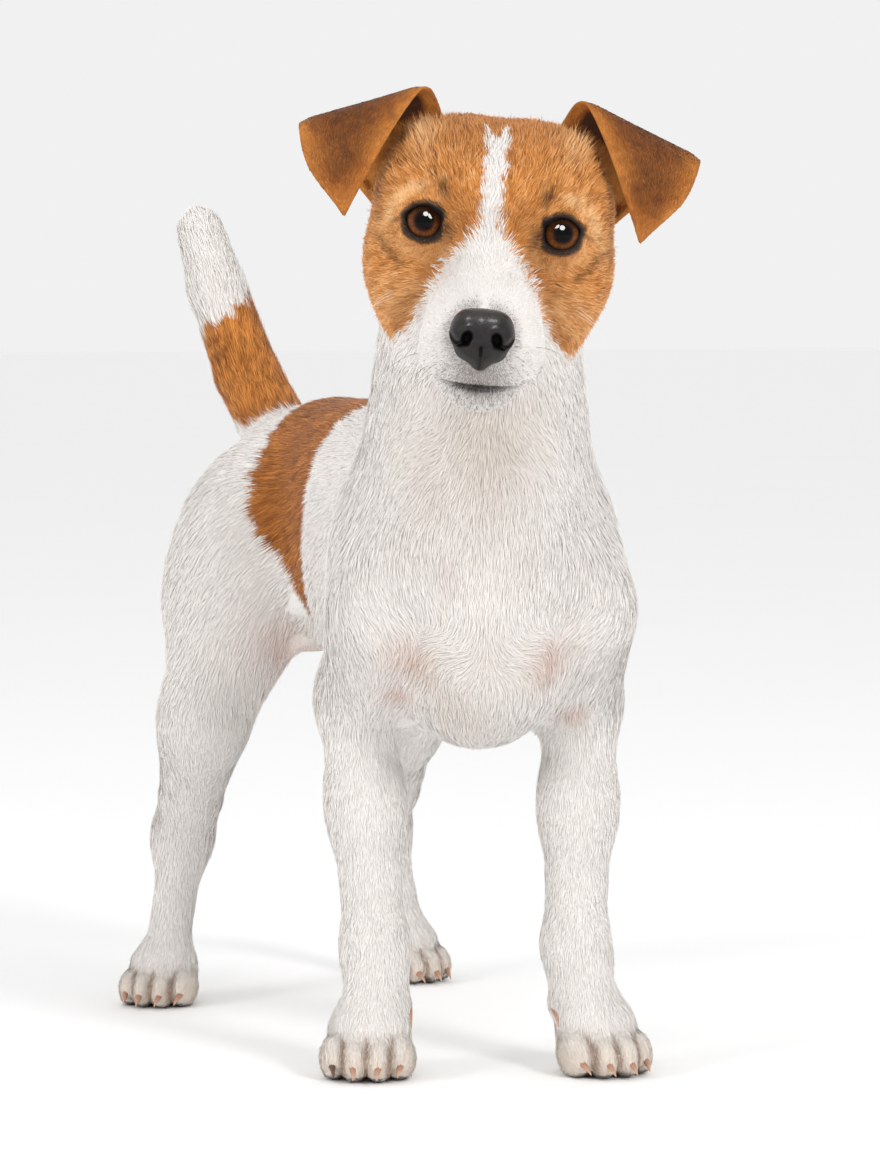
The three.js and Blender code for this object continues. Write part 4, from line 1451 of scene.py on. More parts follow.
class Lie:
    """Which way the coat lies at every vertex of the skin."""

    def __init__(self, figure: Figure, combs: Sequence[Comb] = COMBS) -> None:
        """Keeps the figure and its combed places."""
        self.figure = figure
        self.combs = combs

    def head(self, p: Points) -> np.ndarray:
        """The lie on the head: back from the nose, parted at the midline and round the eyes."""
        q = self.figure.skull.inside(p)
        v = q - np.array([0.0, -64.0, -30.0])
        v = v / np.maximum(np.linalg.norm(v, axis=1, keepdims=True), 1.0)
        v[:, 1] += 0.35
        v[:, 2] -= 0.35 * ramp(np.abs(q[:, 0]), 25.0, 50.0)
        for side in SIDES.values():
            eye = self.figure.skull.inside(self.figure.head.eye_centre(side)[None])[0]
            off = q - eye
            far = np.linalg.norm(off, axis=1)
            v += (0.9 * bump(far - 10.0, 9.0) / np.maximum(far, 1.0))[:, None] * off
        return self.figure.skull.way(v)

    def ways(self, skin: Skin) -> np.ndarray:
        """The lie at the skin's vertices.

        Args:
            skin: the finished skin.

        Returns:
            One unit direction a vertex, along the skin.
        """
        p, shares = skin.points, skin.shares
        s, y, z = SPINE.place(p).T
        flat = np.zeros_like(p)
        along = unit(stacked(SPINE.lean(y), np.ones(len(p)), np.zeros(len(p))))
        chest = 1.0 - ramp(y, 0.0, 50.0)
        trunk = along * (1.0 - 0.75 * chest)[:, None]
        trunk[:, 2] -= 0.65 * ramp(BACK - z, 4.0, 90.0) + 0.6 * chest
        neck = flat + np.array([0.0, 0.45, -0.9])
        neck[:, 0] += 0.5 * np.clip(s / 35.0, -1, 1) * ramp(z, 235.0, 330.0) * (1.0 - ramp(y, 0.0, 60.0))
        fore = flat + np.array([0.0, 0.14, -1.0])
        hind = flat + np.array([0.0, 0.30, -1.0])
        shank = flat + np.array([0.0, 0.10, -1.0])
        tail = flat + np.array([-0.14, 0.46, 1.0])
        paw = flat.copy()
        for own in self.figure.paws:
            a = math.radians(own.turn)
            close = np.linalg.norm(p[:, :2] - np.array(own.at)[:2], axis=1) < 45
            paw[close] = (math.sin(a), -math.cos(a), -0.55)
        fields = {Part.TRUNK: trunk, Part.NECK: neck, Part.HEAD: self.head(p), Part.TAIL: tail,
                  Part.FORE_UPPER: fore, Part.FORE_LOWER: fore, Part.HIND_UPPER: hind, Part.HIND_LOWER: shank,
                  Part.PAW: paw, Part.EAR: skin.ear_way}
        way = sum(shares[:, part, None] * unit(v) for part, v in fields.items())
        for comb in self.combs:
            near = bump(np.linalg.norm(p - np.array(comb.at), axis=1), comb.reach)
            way += comb.weight * near[:, None] * unit(np.array(comb.way))
        return self.smoothed(way, skin, 10)

    @staticmethod
    def smoothed(way: np.ndarray, skin: Skin, turns: int) -> np.ndarray:
        """Directions evened out over neighbouring vertices.

        Args:
            way: one direction a vertex.
            skin: the finished skin.
            turns: how many times each is averaged with its neighbours.

        Returns:
            Unit directions along the skin.
        """
        a, b = skin.edges.T
        count = len(way)
        links = np.bincount(a, minlength=count) + np.bincount(b, minlength=count) + 1.0
        for turn in range(turns + 1):
            way = unit(way - np.sum(way * skin.normals, axis=1, keepdims=True) * skin.normals)
            if turn < turns:
                total = way.copy()
                for axis in range(3):
                    total[:, axis] += np.bincount(a, way[b, axis], count)
                    total[:, axis] += np.bincount(b, way[a, axis], count)
                way = total / links[:, None]
        return way


@dataclass
class Coat:
    """The dog's hair: fine tufts that lie along the skin, dealt in turn to a few meshes."""

    figure: Figure
    space: Space
    markings: Markings
    lie: Lie
    pieces: int = 8
    seed: int = 5
    patch: float = 0.0015
    sunk: float = 0.25
    floor: float = 0.1
    amount: float = 1.0

    def growth(self, skin: Skin) -> np.ndarray:
        """Length, width, density and lift at the skin's vertices, one row a vertex."""
        p = skin.points
        table = np.array([[g.length, g.width, g.density, g.lift] for g in (GROWTH[part] for part in Part)])
        out = skin.shares @ table
        q = self.figure.skull.inside(p)
        x, y, z = self.figure.face.inside(p).T
        head = skin.shares[:, Part.HEAD]
        near = np.linalg.norm(q - np.array([0.0, -64.0, -34.0]), axis=1)
        length = np.interp(near, [16, 24, 40, 60, 90, 130], [1.6, 2.4, 3.4, 4.8, 6.4, 9.0])
        length = np.maximum(length, 7.0 * ramp(-50.0 - z, 0.0, 14.0) * ramp(near, 24.0, 40.0))
        above, line = self.figure.mouth(p)
        length = np.maximum(length, 4.2 * line * bump(above - 3.0, 3.0))
        for side in SIDES.values():
            eye = self.figure.head.from_eye(p, side)
            length = np.minimum(length, np.interp(eye, [10, 13, 18, 28], [0.9, 1.3, 3.2, 8.0]))
        out[:, 0] += head * (length - GROWTH[Part.HEAD].length)
        out[:, 1] *= 1.0 - 0.30 * head * ramp(4.6 - length, 0.0, 2.4)
        out[:, 2] *= 1.0 + head * (1.5 * ramp(4.8 - length, 0.0, 2.8) - 0.25 * ramp(length, 6.5, 9.5))
        out[:, 0] *= 1.0 - skin.fold
        lining = ramp(skin.flap, 1.0, 1.3)
        out[:, 2] *= 1.0 - 0.6 * lining
        fringe = bump(np.hypot((np.abs(x) - 36.0) / 1.2, (z - 40.0) / 1.8), 9.0) * (y < 45)
        fringe *= (1.0 - skin.ear) * head
        out[:, 0] += 8.0 * fringe
        out[:, 3] += 14.0 * fringe
        return out

    def bald(self, p: Points) -> np.ndarray:
        """Where no hair grows: inside the lids, on the lips' edge, under the nose and on the soles."""
        out = p[:, 2] < 1.6
        for side in SIDES.values():
            ring, q = self.figure.eye_ring(p, side)
            out |= (ring < 1.09) & (q[:, 1] < 10)
        above, line = self.figure.mouth(p)
        q = self.figure.skull.inside(p)
        out |= (line > 0.5) & (np.abs(above + 0.3) < 0.5) & (q[:, 1] < -10) & (q[:, 2] < -36)
        return out | (Nose.reach(q) < -0.6)

    def build(self, skin: Skin, finish: bpy.types.Material) -> None:
        """Grows the coat on the skin.

        Args:
            skin: the finished skin.
            finish: the coat's material.
        """
        rng = np.random.default_rng(self.seed)
        ways = self.lie.ways(skin)
        growth = self.growth(skin)
        LOG.info("coat: lie worked out")
        corner = skin.corners
        a, b, c = (skin.points[corner[:, i]] for i in range(3))
        area = 0.5 * np.linalg.norm(np.cross(b - a, c - a), axis=1)
        chance = area * growth[corner, 2].mean(axis=1) * self.amount
        total = int(chance.sum())
        heap = np.cumsum(chance)
        # Evenly spaced draws leave fewer bare gaps than free ones.
        draw = (np.arange(total) + rng.uniform(0.0, 1.0, total)) / total * heap[-1]
        face = np.minimum(np.searchsorted(heap, draw), len(heap) - 1)
        u, v = rng.uniform(0.0, 1.0, (2, total))
        fold = u + v > 1.0
        u[fold], v[fold] = 1.0 - u[fold], 1.0 - v[fold]
        weight = stacked(1.0 - u - v, u, v)[:, :, None]

        def at(values: np.ndarray) -> np.ndarray:
            """Values of the skin's vertices, at the roots."""
            return np.sum(values[corner[face]] * weight, axis=1)

        p = at(skin.points)
        keep = np.flatnonzero(~self.bald(p))
        order = keep[rng.permutation(len(keep))]
        face, weight, p = face[order], weight[order], p[order]
        n = unit(at(skin.normals))
        way, shares, growth = at(ways), at(skin.shares), at(growth)
        flap = at(skin.flap[:, None])[:, 0]
        map_at = np.sum(skin.map[face] * weight, axis=1)
        LOG.info("coat: %d tufts", len(p))
        colour = self.markings.colour(p + 0.65 * growth[:, :1] * way, shares, flap, rng, p)
        verts, normal = self.tufts(p, n, way, growth, shares, rng)
        shade = rng.uniform(0.0, 1.0, (2, len(p)))
        LOG.info("coat: shaped")
        for i in range(self.pieces):
            own = slice(i, None, self.pieces)
            mesh = self.mesh(verts[own], normal[own], colour[own], shade[:, own], map_at[own])
            coat = piece(f"coat_{i + 1}", mesh, finish)
        LOG.info("coat: %d triangles in %d pieces", 2 * len(verts), self.pieces)

    def tufts(self, p: Points, n: np.ndarray, way: np.ndarray, growth: np.ndarray, shares: np.ndarray,
              rng: np.random.Generator) -> tuple[np.ndarray, np.ndarray]:
        """Shapes one kite of two bent triangles at each root.

        Args:
            p: the roots.
            n: the skin's normals there.
            way: the lie of the coat there.
            growth: length, width, density and lift there.
            shares: the regions' shares there.
            rng: the draw.

        Returns:
            The four corners of each tuft, from root to tip, and the normal that each corner is shaded by.
        """
        count = len(p)
        way = unit(way - np.sum(way * n, axis=1, keepdims=True) * n)
        cross = np.cross(way, n)
        loose = 0.55 + 0.45 * shares[:, Part.HEAD]
        swing = loose * (0.24 * Noise(31, 16.0)(p) + 0.16 * Noise(32, 6.0)(p)) + 0.12 * rng.normal(size=count)
        way = way * np.cos(swing)[:, None] + cross * np.sin(swing)[:, None]
        cross = np.cross(way, n)
        length = growth[:, 0] * rng.uniform(0.65, 1.2, count) * (1.0 + 0.12 * Noise(33, 22.0)(p))
        stray = rng.uniform(0.0, 1.0, count) < 0.03
        lift = np.radians(growth[:, 3]) * (0.3 + 1.5 * rng.uniform(0.0, 1.0, count) ** 2)
        lift *= np.where(stray, 2.0, 1.0)
        rise, run = np.sin(lift), np.cos(lift)
        root = p - self.sunk * n
        middle = p + way * (0.46 * length * run)[:, None] + n * (0.46 * length * rise)[:, None]
        high = 0.78 * length * rise
        tip = p + way * (length * run)[:, None] + n * high[:, None]
        tip += cross * (0.10 * length * Noise(34, 9.0)(p))[:, None]
        tip, middle = self.gathered(p, tip, middle, growth)
        depth = shares @ np.array([self.figure.depths[part] for part in Part])
        body = 1.0 - shares[:, Part.EAR]
        for end, want in ((middle, 0.60 * high), (tip, high)):
            off = np.clip(want - self.figure.skin(end, depth), -5.0, 3.0) * body
            end += n * off[:, None]
        roll = np.radians(rng.normal(0.0, 11.0, count))
        side = cross * np.cos(roll)[:, None] + n * np.sin(roll)[:, None]
        half = 0.5 * growth[:, 1] * rng.uniform(0.7, 1.3, count) * np.where(stray, 0.6, 1.0)
        verts = stacked(root, middle - side * half[:, None], middle + side * half[:, None], tip)
        verts[:, :, 2] = np.maximum(verts[:, :, 2], self.floor)
        own = unit(np.cross(side, tip - root))
        own *= np.where(np.sum(own * n, axis=1) < 0.0, -1.0, 1.0)[:, None]
        white = 1.0 - shares[:, Part.HEAD] - shares[:, Part.EAR] - shares[:, Part.TAIL]
        share = 0.75 - 0.25 * white - 0.10 * shares[:, Part.NECK]
        soft = unit((1.0 - share)[:, None] * n + share[:, None] * own)
        return verts, np.repeat(soft[:, None], 4, axis=1)

    @staticmethod
    def gathered(p: Points, tip: Points, middle: Points, growth: np.ndarray) -> tuple[Points, Points]:
        """Draws the tips of neighbouring tufts together into small locks."""
        for size, pull, seed in ((3.0, 0.28, 41), (7.0, 0.13, 42)):
            warp = stacked(*(Noise(seed + 10 * axis, 2.6 * size)(p) for axis in range(3)))
            cell = np.floor((p + 0.45 * size * warp) / size)
            code = cell.astype(np.int64) @ np.array([1, 4093, 4093 * 4093])
            _, group = np.unique(code, return_inverse=True)
            many = np.bincount(group)
            mean = stacked(*(np.bincount(group, tip[:, axis])[group] for axis in range(3)))
            offset = mean / many[group][:, None] - tip
            offset *= pull * np.interp(growth[:, 0], [3.0, 6.0, 12.0], [0.3, 0.6, 0.5])[:, None]
            tip = tip + offset
            middle = middle + 0.35 * offset
        return tip, middle

    def mesh(self, verts: np.ndarray, normal: np.ndarray, colour: np.ndarray, shade: np.ndarray,
             map_at: np.ndarray) -> bpy.types.Mesh:
        """Writes tufts as one mesh.

        Args:
            verts: four corners a tuft, in the dog's space.
            normal: the normal that each corner is shaded by.
            colour: one colour a tuft.
            shade: two random numbers a tuft.
            map_at: each root's place on the skin's flat map.

        Returns:
            The mesh, in metres.
        """
        count = len(verts)
        mesh = bpy.data.meshes.new("coat")
        mesh.vertices.add(4 * count)
        mesh.vertices.foreach_set("co", self.space.metres(verts.reshape(-1, 3)).astype(np.float32).ravel())
        faces = (4 * np.arange(count)[:, None] + np.array([0, 2, 1, 1, 2, 3])).ravel()
        mesh.loops.add(len(faces))
        mesh.loops.foreach_set("vertex_index", faces.astype(np.int32))
        mesh.polygons.add(2 * count)
        mesh.polygons.foreach_set("loop_start", np.arange(0, len(faces), 3, dtype=np.int32))
        mesh.update(calc_edges=True)
        mesh.shade_smooth()
        paint(mesh, "tint", np.repeat(colour, 4, axis=0))
        along = np.tile(np.array([0.0, 0.5, 0.5, 1.0]), count)
        paint(mesh, "strand", stacked(along, np.repeat(shade[0], 4), np.repeat(shade[1], 4)))
        corner = self.patch * np.array([[0.0, -1.0], [-1.0, 0.0], [1.0, 0.0], [0.0, 1.0]])
        flat = (map_at[:, None, :] + corner).reshape(-1, 2)[faces]
        layer = mesh.uv_layers.new(name=BAKE_MAP)
        layer.data.foreach_set("uv", flat.astype(np.float32).ravel())
        mesh.normals_split_custom_set_from_vertices(normal.reshape(-1, 3).astype(np.float32))
        return mesh


# ---- fine hairs: whiskers, brows and lashes ----

@dataclass(frozen=True)
class Bristle:
    """One long hair: where it grows and leans in the face's frame, its length, drop and thickness."""

    at: Triple
    way: Triple
    length: float
    drop: float = 0.25
    thick: float = 0.13
    dark: bool = False


@dataclass
class Bristles:
    """Whiskers, brow hairs and lashes as thin tapered tubes."""

    figure: Figure
    space: Space
    palette: Palette = field(default_factory=Palette)
    rings: int = 6
    sides: int = 4

    def grown(self) -> list[Bristle]:
        """Every long hair of the face."""
        rng = np.random.default_rng(21)
        out: list[Bristle] = []
        for side in SIDES.values():
            for row in range(4):
                for step in range(5):
                    x = side * (17.0 + 2.6 * step)
                    z = -52.0 - 5.6 * row - 0.6 * step
                    lean = rng.normal(0.0, 0.10, 3)
                    way = (side * (0.8 + lean[0]), -0.30 + 0.24 * step + lean[1], 0.10 - 0.22 * row + lean[2])
                    length = 10.0 + 4.6 * step * rng.uniform(0.7, 1.2)
                    out.append(Bristle((x, -50.0 + 6.0 * step, z), way, length, 0.55, 0.085,
                                       rng.uniform() < 0.12))
            for i in range(5):
                way = (side * (0.1 + 0.22 * i), -0.75, 0.85)
                out.append(Bristle((side * (24.0 + 3.0 * i), -8.0, 15.0 + rng.uniform(-1, 1)), way,
                                   rng.uniform(10, 16), 0.35, 0.07, i % 3 == 0))
            for i in range(3):
                way = (side * 0.9, -0.35, -0.45 + 0.1 * i)
                out.append(Bristle((side * (46.0 + i), 8.0, -36.0 - 3 * i), way, rng.uniform(16, 26), 0.4,
                                   0.09))
            for i in range(26):
                turn = math.radians(18.0 + 144.0 * i / 25.0)
                edge = (side * (31.5 + 8.6 * math.cos(turn)), -5.5, 7.7 * math.sin(turn))
                way = (side * 0.75 * math.cos(turn), -0.75, 0.25 + 0.65 * math.sin(turn))
                out.append(Bristle(edge, way, rng.uniform(2.2, 3.6), -0.35, 0.05, True))
        return out

    def build(self, finish: bpy.types.Material) -> bpy.types.Object:
        """Makes all the long hairs as one piece.

        Args:
            finish: their material.

        Returns:
            The piece.
        """
        rng = np.random.default_rng(22)
        hairs = self.grown()
        face = self.figure.face
        roots = face.outside(np.array([h.at for h in hairs]))
        roots = settle(lambda p: self.figure.outline(p) + 1.2, roots, 4, 6.0)
        verts, faces, tints = [], [], []
        t = np.linspace(0.0, 1.0, self.rings + 1)[:, None]
        turn = 2.0 * math.pi * np.arange(self.sides) / self.sides
        for hair, root in zip(hairs, roots):
            way = face.way(unit(np.array(hair.way)))[0]
            aside = unit(np.cross(way, np.array([0.1, 0.2, 1.0])))
            above = np.cross(aside, way)
            spine = root + hair.length * (
                way * t + (aside * rng.normal(0.0, 0.08) - np.array([0.0, 0.0, hair.drop])) * t * t)
            ring = aside * np.cos(turn)[:, None] + above * np.sin(turn)[:, None]
            start = len(verts) * self.sides
            verts += list(spine[:, None] + (hair.thick * (1.0 - 0.85 * t))[:, None] * ring)
            tints += [linear(self.palette.black if hair.dark else self.palette.white)] * len(t) * self.sides
            for k in range(self.rings * self.sides):
                a = start + k
                b = a + 1 if (k + 1) % self.sides else a + 1 - self.sides
                faces.append((a, b, b + self.sides, a + self.sides))
            ends = (range(start + self.sides - 1, start - 1, -1),
                    range(start + self.rings * self.sides, start + (self.rings + 1) * self.sides))
            faces += [tuple(end) for end in ends]
        mesh = bpy.data.meshes.new("bristles")
        mesh.from_pydata(self.space.metres(np.concatenate(verts)).tolist(), [], faces)
        paint(mesh, "tint", np.array(tints))
        along = np.tile(np.repeat(t[:, 0], self.sides), len(hairs))
        paint(mesh, "strand", stacked(along, *np.full((2, len(along)), 0.5)))
        out = piece("bristles", mesh, finish)
        LOG.info("bristles: %d hairs", len(hairs))
        return out


# ---- eyes, nose and claws ----

@dataclass
class Eye:
    """One eyeball: a ball with a cornea that bulges along its line of sight."""

    figure: Figure
    space: Space
    side: int
    name: str
    bulge: float = 0.9
    cap: float = 46.0
    gaze: float = 0.0

    def build(self, finish: bpy.types.Material) -> bpy.types.Object:
        """Makes the eye.

        Args:
            finish: its material.

        Returns:
            The piece.
        """
        radius = self.figure.head.eye_radius
        bm = bmesh.new()
        bmesh.ops.create_uvsphere(bm, u_segments=72, v_segments=60, radius=radius,
                                  matrix=Matrix.Rotation(math.radians(90), 4, "X"))
        local = spots(bm)
        off = np.degrees(np.arccos(np.clip(-local[:, 1] / radius, -1, 1)))
        rise = self.bulge * np.clip(1.0 - (off / self.cap) ** 2, 0.0, 1.0) ** 1.5
        grown = local * (1.0 + rise / radius)[:, None]
        look = Frame(self.figure.face.matrix.to_3x3().to_4x4()
                     @ Matrix.Rotation(math.radians(self.side * self.gaze), 4, "Z"))
        move(bm.verts, self.space.metres(look.outside(grown) + self.figure.head.eye_centre(self.side)))
        bmesh.ops.recalc_face_normals(bm, faces=bm.faces)
        mesh = closed(bm, "eye")
        paint(mesh, "gaze", stacked(local[:, 0], local[:, 2], -local[:, 1]) / 10.0)
        out = piece(f"eyeball_{self.name}", mesh, finish)
        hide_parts(f"eye_{self.name}")
        LOG.info("eye %s: %d triangles", self.name, 2 * len(mesh.polygons))
        return out


@dataclass
class Nose:
    """The nose leather: a rounded pad with wings, nostrils and a groove down the middle."""

    figure: Figure
    space: Space
    cells: int = 7

    @staticmethod
    def frame() -> Matrix:
        """Where the nose sits in the face's frame, in millimetres, and its size."""
        return Matrix.Translation((-0.6, -49.0, -50.6)) @ Matrix.Diagonal((0.93, 0.95, 0.92, 1.0))

    @staticmethod
    def bulk() -> Shape:
        """The pad without its openings."""
        parts: list[Shape] = [
            Mass((0.0, 1.0, 3.6), (14.0, 12.0, 11.0)),
            Mass((0.0, -1.0, -9.2), (5.4, 9.0, 6.8)),
        ]
        for s in SIDES.values():
            parts += [
                Mass((5.6 * s, -0.5, -5.0), (7.4, 10.0, 6.8)),
                Mass((10.4 * s, -1.4, 1.4), (5.6, 9.0, 6.2)),
                Mass((7.4 * s, 0.6, 6.6), (7.0, 10.8, 6.8)),
            ]
        return Blend(3.0, tuple(parts))

    @staticmethod
    def pressed(p: Points) -> tuple[Values, Values]:
        """How the front of the pad is pressed in.

        Args:
            p: points of the pad, in its own frame.

        Returns:
            How deep each point is pressed, and how much it lies inside an opening.
        """
        x, z = np.abs(p[:, 0]), p[:, 2]
        hole = np.hypot((x - 7.3) / 2.9, (z + 0.6 + 0.25 * (x - 7.3)) / 3.7)
        slit = np.full(len(p), 99.0)
        path = ((7.0, -3.6), (10.2, -4.0), (13.2, -2.6), (16.2, 1.4))
        for (ax, az), (bx, bz) in zip(path, path[1:]):
            ux, uz = bx - ax, bz - az
            t = np.clip(((x - ax) * ux + (z - az) * uz) / (ux ** 2 + uz ** 2), 0.0, 1.0)
            slit = np.minimum(slit, np.hypot(x - ax - t * ux, z - az - t * uz))
        groove = bump(x, 0.55 + 0.5 * ramp(-z, 11.0, 17.0)) * ramp(-z, 2.5, 5.5)
        deep = 5.4 * (1.0 - ramp(hole, 0.45, 1.08)) + 2.6 * bump(slit, 0.95) + 1.3 * groove
        wing = 0.9 * bump(hole - 1.5, 0.35) * ramp(z, -2.0, 2.0) + 0.4 * bump(slit - 2.4, 1.2)
        inside = np.maximum(np.maximum(1.0 - ramp(hole, 0.80, 1.10), bump(slit, 0.95)), 0.9 * groove)
        return deep - wing, inside

    @staticmethod
    def reach(q: Points) -> Values:
        """How far points q of the skull's frame lie outside the nose."""
        head = Head()
        p = head.skull().outside(q)
        own = Frame(head.face().matrix @ Nose.frame()).inside(p)
        return Nose.bulk()(own)

    def build(self, finish: bpy.types.Material) -> bpy.types.Object:
        """Makes the nose.

        Args:
            finish: its material.

        Returns:
            The piece.
        """
        bm = bmesh.new()
        bmesh.ops.create_icosphere(bm, subdivisions=self.cells, radius=12.0)
        own = settle(self.bulk(), spots(bm), 8, 3.0)
        move(bm.verts, own)
        bm.normal_update()
        front = ramp(-np.array([v.normal.y for v in bm.verts]), 0.05, 0.40)
        deep, inside = self.pressed(own)
        inside *= front
        top = ramp(own[:, 2], -2.0, 12.0)
        own[:, 1] += deep * front
        move(bm.verts, own)
        soften(bm)
        own = spots(bm)
        move(bm.verts, self.space.metres(Frame(self.figure.face.matrix @ self.frame()).outside(own)))
        mesh = closed(bm, "nose")
        # Carries the openings, which the finish paints dark as shade, and how high each point lies.
        paint(mesh, "wear_and_painted_shade", stacked(inside, top, np.clip(0.5 + own[:, 1] / 24.0, 0, 1)))
        made = piece("nose_leather", mesh, finish)
        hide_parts("nose")
        LOG.info("nose: %d triangles", len(mesh.polygons))
        return made


@dataclass
class Claws:
    """The claws, smoothed from their solids."""

    dark: str = "claw_fore_right_1"

    def build(self, finish: bpy.types.Material) -> None:
        """Makes one smooth claw for each solid one.

        Args:
            finish: their material.
        """
        names = [name for name in frame["nodes"] if name.startswith("claw")]
        for name in names:
            bm = opened(frame["nodes"][name].data)
            bmesh.ops.remove_doubles(bm, verts=bm.verts, dist=WELD)
            bmesh.ops.subdivide_edges(bm, edges=bm.edges, cuts=2, use_grid_fill=True)
            for _ in range(3):
                soften(bm)
            bmesh.ops.recalc_face_normals(bm, faces=bm.faces)
            mesh = closed(bm, name)
            z = coordinates(mesh)[:, 2]
            dark = np.full(len(z), 0.8 if name == self.dark else 0.0)
            paint(mesh, "wear_and_painted_shade", stacked((z - z.min()) / (z.max() - z.min()), dark, np.zeros(len(z))))
            made = piece(name.replace("claw", "horn"), mesh, finish)
            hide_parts(name)
        LOG.info("claws: %d", len(names))


# ---- finishes ----

class Sock:
    """A value's socket: arithmetic on it adds the Math nodes that work it out."""

    def __init__(self, shader: "Shader", socket: bpy.types.NodeSocket) -> None:
        """Keeps the socket and the shader it belongs to."""
        self.shader = shader
        self.socket = socket

    def math(self, operation: str, other: "Sock | float", swap: bool = False) -> "Sock":
        """The result of a Math node on this value and another.

        Args:
            operation: the node's operation.
            other: the other value.
            swap: whether this value comes second.

        Returns:
            The result.
        """
        values = [other, self] if swap else [self, other]
        return self.shader.node("ShaderNodeMath", {"operation": operation}, dict(enumerate(values)))

    __add__ = __radd__ = partialmethod(math, "ADD")
    __sub__ = partialmethod(math, "SUBTRACT")
    __rsub__ = partialmethod(math, "SUBTRACT", swap=True)
    __mul__ = __rmul__ = partialmethod(math, "MULTIPLY")
    __truediv__ = partialmethod(math, "DIVIDE")
    __pow__ = partialmethod(math, "POWER")

    def step(self, start: float, end: float) -> "Sock":
        """A soft step from 0 at start to 1 at end."""
        return self.shader.node("ShaderNodeMapRange", {"interpolation_type": "SMOOTHSTEP"},
                                {"Value": self, "From Min": start, "From Max": end})


class Shader:
    """Builds one Principled material from nodes."""

    def __init__(self, name: str, **fixed: float) -> None:
        """Starts the material.

        Args:
            name: its name.
            fixed: values that are the same all over, with _ for each space of a socket's name.
        """
        self.material = bpy.data.materials.new(name)
        self.material.use_nodes = True
        self.tree = self.material.node_tree
        self.tree.nodes.clear()
        self.end = self.tree.nodes.new("ShaderNodeOutputMaterial")
        self.body = self.tree.nodes.new("ShaderNodeBsdfPrincipled")
        self.tree.links.new(self.body.outputs[0], self.end.inputs[0])
        for key, value in fixed.items():
            self.body.inputs[key.replace("_", " ")].default_value = value

    def node(self, kind: str, settings: dict[str, object], inputs: dict[int | str, object],
             output: int | str = 0) -> Sock:
        """Adds a node.

        Args:
            kind: the node's type.
            settings: its properties, which are set first.
            inputs: values or links for its sockets.
            output: which of its outputs is returned.

        Returns:
            The output.
        """
        made = self.tree.nodes.new(kind)
        for key, value in settings.items():
            setattr(made, key, value)
        for key, value in inputs.items():
            if isinstance(value, Sock):
                self.tree.links.new(value.socket, made.inputs[key])
            else:
                made.inputs[key].default_value = value
        return Sock(self, made.outputs[output])

    def read(self, name: str, output: str = "Color") -> Sock:
        """An attribute of the mesh."""
        return self.node("ShaderNodeAttribute", {"attribute_name": name}, {}, output)

    def parts(self, vector: Sock) -> tuple[Sock, Sock, Sock]:
        """The three numbers of a vector or colour."""
        first = self.node("ShaderNodeSeparateXYZ", {}, {0: vector})
        outputs = first.socket.node.outputs
        return first, Sock(self, outputs[1]), Sock(self, outputs[2])

    def place(self, stretch: Triple = (1.0, 1.0, 1.0)) -> Sock:
        """The object's own coordinates, stretched."""
        at = self.node("ShaderNodeTexCoord", {}, {}, "Object")
        return self.node("ShaderNodeMapping", {}, {"Vector": at, "Scale": stretch})

    def noise(self, at: Sock, scale: float, detail: float = 3.0) -> Sock:
        """A cloudy noise from 0 to 1."""
        return self.node("ShaderNodeTexNoise", {}, {"Vector": at, "Scale": scale, "Detail": detail})

    def mix(self, amount: Sock | float, a: object, b: object, blend: str = "MIX") -> Sock:
        """Colours a and b mixed by an amount."""
        made = self.tree.nodes.new("ShaderNodeMix")
        made.data_type = "RGBA"
        made.blend_type = blend
        for index, value in ((0, amount), (6, a), (7, b)):
            if isinstance(value, Sock):
                self.tree.links.new(value.socket, made.inputs[index])
            else:
                made.inputs[index].default_value = value
        return Sock(self, made.outputs[2])

    def grey(self, value: Sock) -> Sock:
        """A value as a grey colour."""
        return self.node("ShaderNodeCombineColor", {}, {0: value, 1: value, 2: value})

    def bump(self, height: Sock, distance: float, strength: float = 1.0) -> Sock:
        """A normal tilted by a height in metres-scaled distance."""
        return self.node("ShaderNodeBump", {}, {"Height": height, "Distance": distance, "Strength": strength})

    def finish(self, **links: Sock) -> bpy.types.Material:
        """Links values to the shader's sockets, with _ for each space of a socket's name."""
        for key, value in links.items():
            self.tree.links.new(value.socket, self.body.inputs[key.replace("_", " ")])
        return self.material


def rgba(code: str) -> tuple[float, float, float, float]:
    """A colour such as "b5702f" for a node's socket."""
    return (*linear(code).tolist(), 1.0)


@dataclass(frozen=True)
class FurFinish:
    """Hair: its own tint, darker at the root as painted shade deep in the coat, and a little different on
    each tuft.
    """

    name: str = "terrier_coat"
    rough: float = 0.62
    # How dark the root is painted, as shade deep in the coat.
    root: float = 0.92

    def make(self) -> bpy.types.Material:
        """The material."""
        s = Shader(self.name, Roughness=self.rough, Specular_IOR_Level=0.22, Sheen_Weight=0.12,
                   Sheen_Roughness=0.5)
        along, one, two = s.parts(s.read("strand"))
        # Painted shade: each tuft darker towards its root.
        shade = (self.root + (1.06 - self.root) * along.step(0.0, 0.8)) * (0.94 + 0.12 * one)
        warm = s.mix(0.07 * two, s.read("tint"), rgba("c9a886"), "MULTIPLY")
        return s.finish(Base_Color=s.mix(1.0, warm, s.grey(shade), "MULTIPLY"))


@dataclass(frozen=True)
class SkinFinish:
    """The skin under the coat, with the shortest hair as fine bump."""

    name: str = "terrier_skin"

    def make(self) -> bpy.types.Material:
        """The material."""
        s = Shader(self.name, Roughness=0.7, Specular_IOR_Level=0.25)
        fine = s.noise(s.place((1.0, 1.0, 0.28)), 1500.0, 2.0)
        cloud = s.noise(s.place(), 240.0, 3.0)
        shade = 0.70 + 0.30 * fine + 0.16 * cloud
        height = s.bump(fine + 0.5 * cloud, 0.0006, 0.8)
        return s.finish(Base_Color=s.mix(1.0, s.read("tint"), s.grey(shade), "MULTIPLY"), Normal=height)


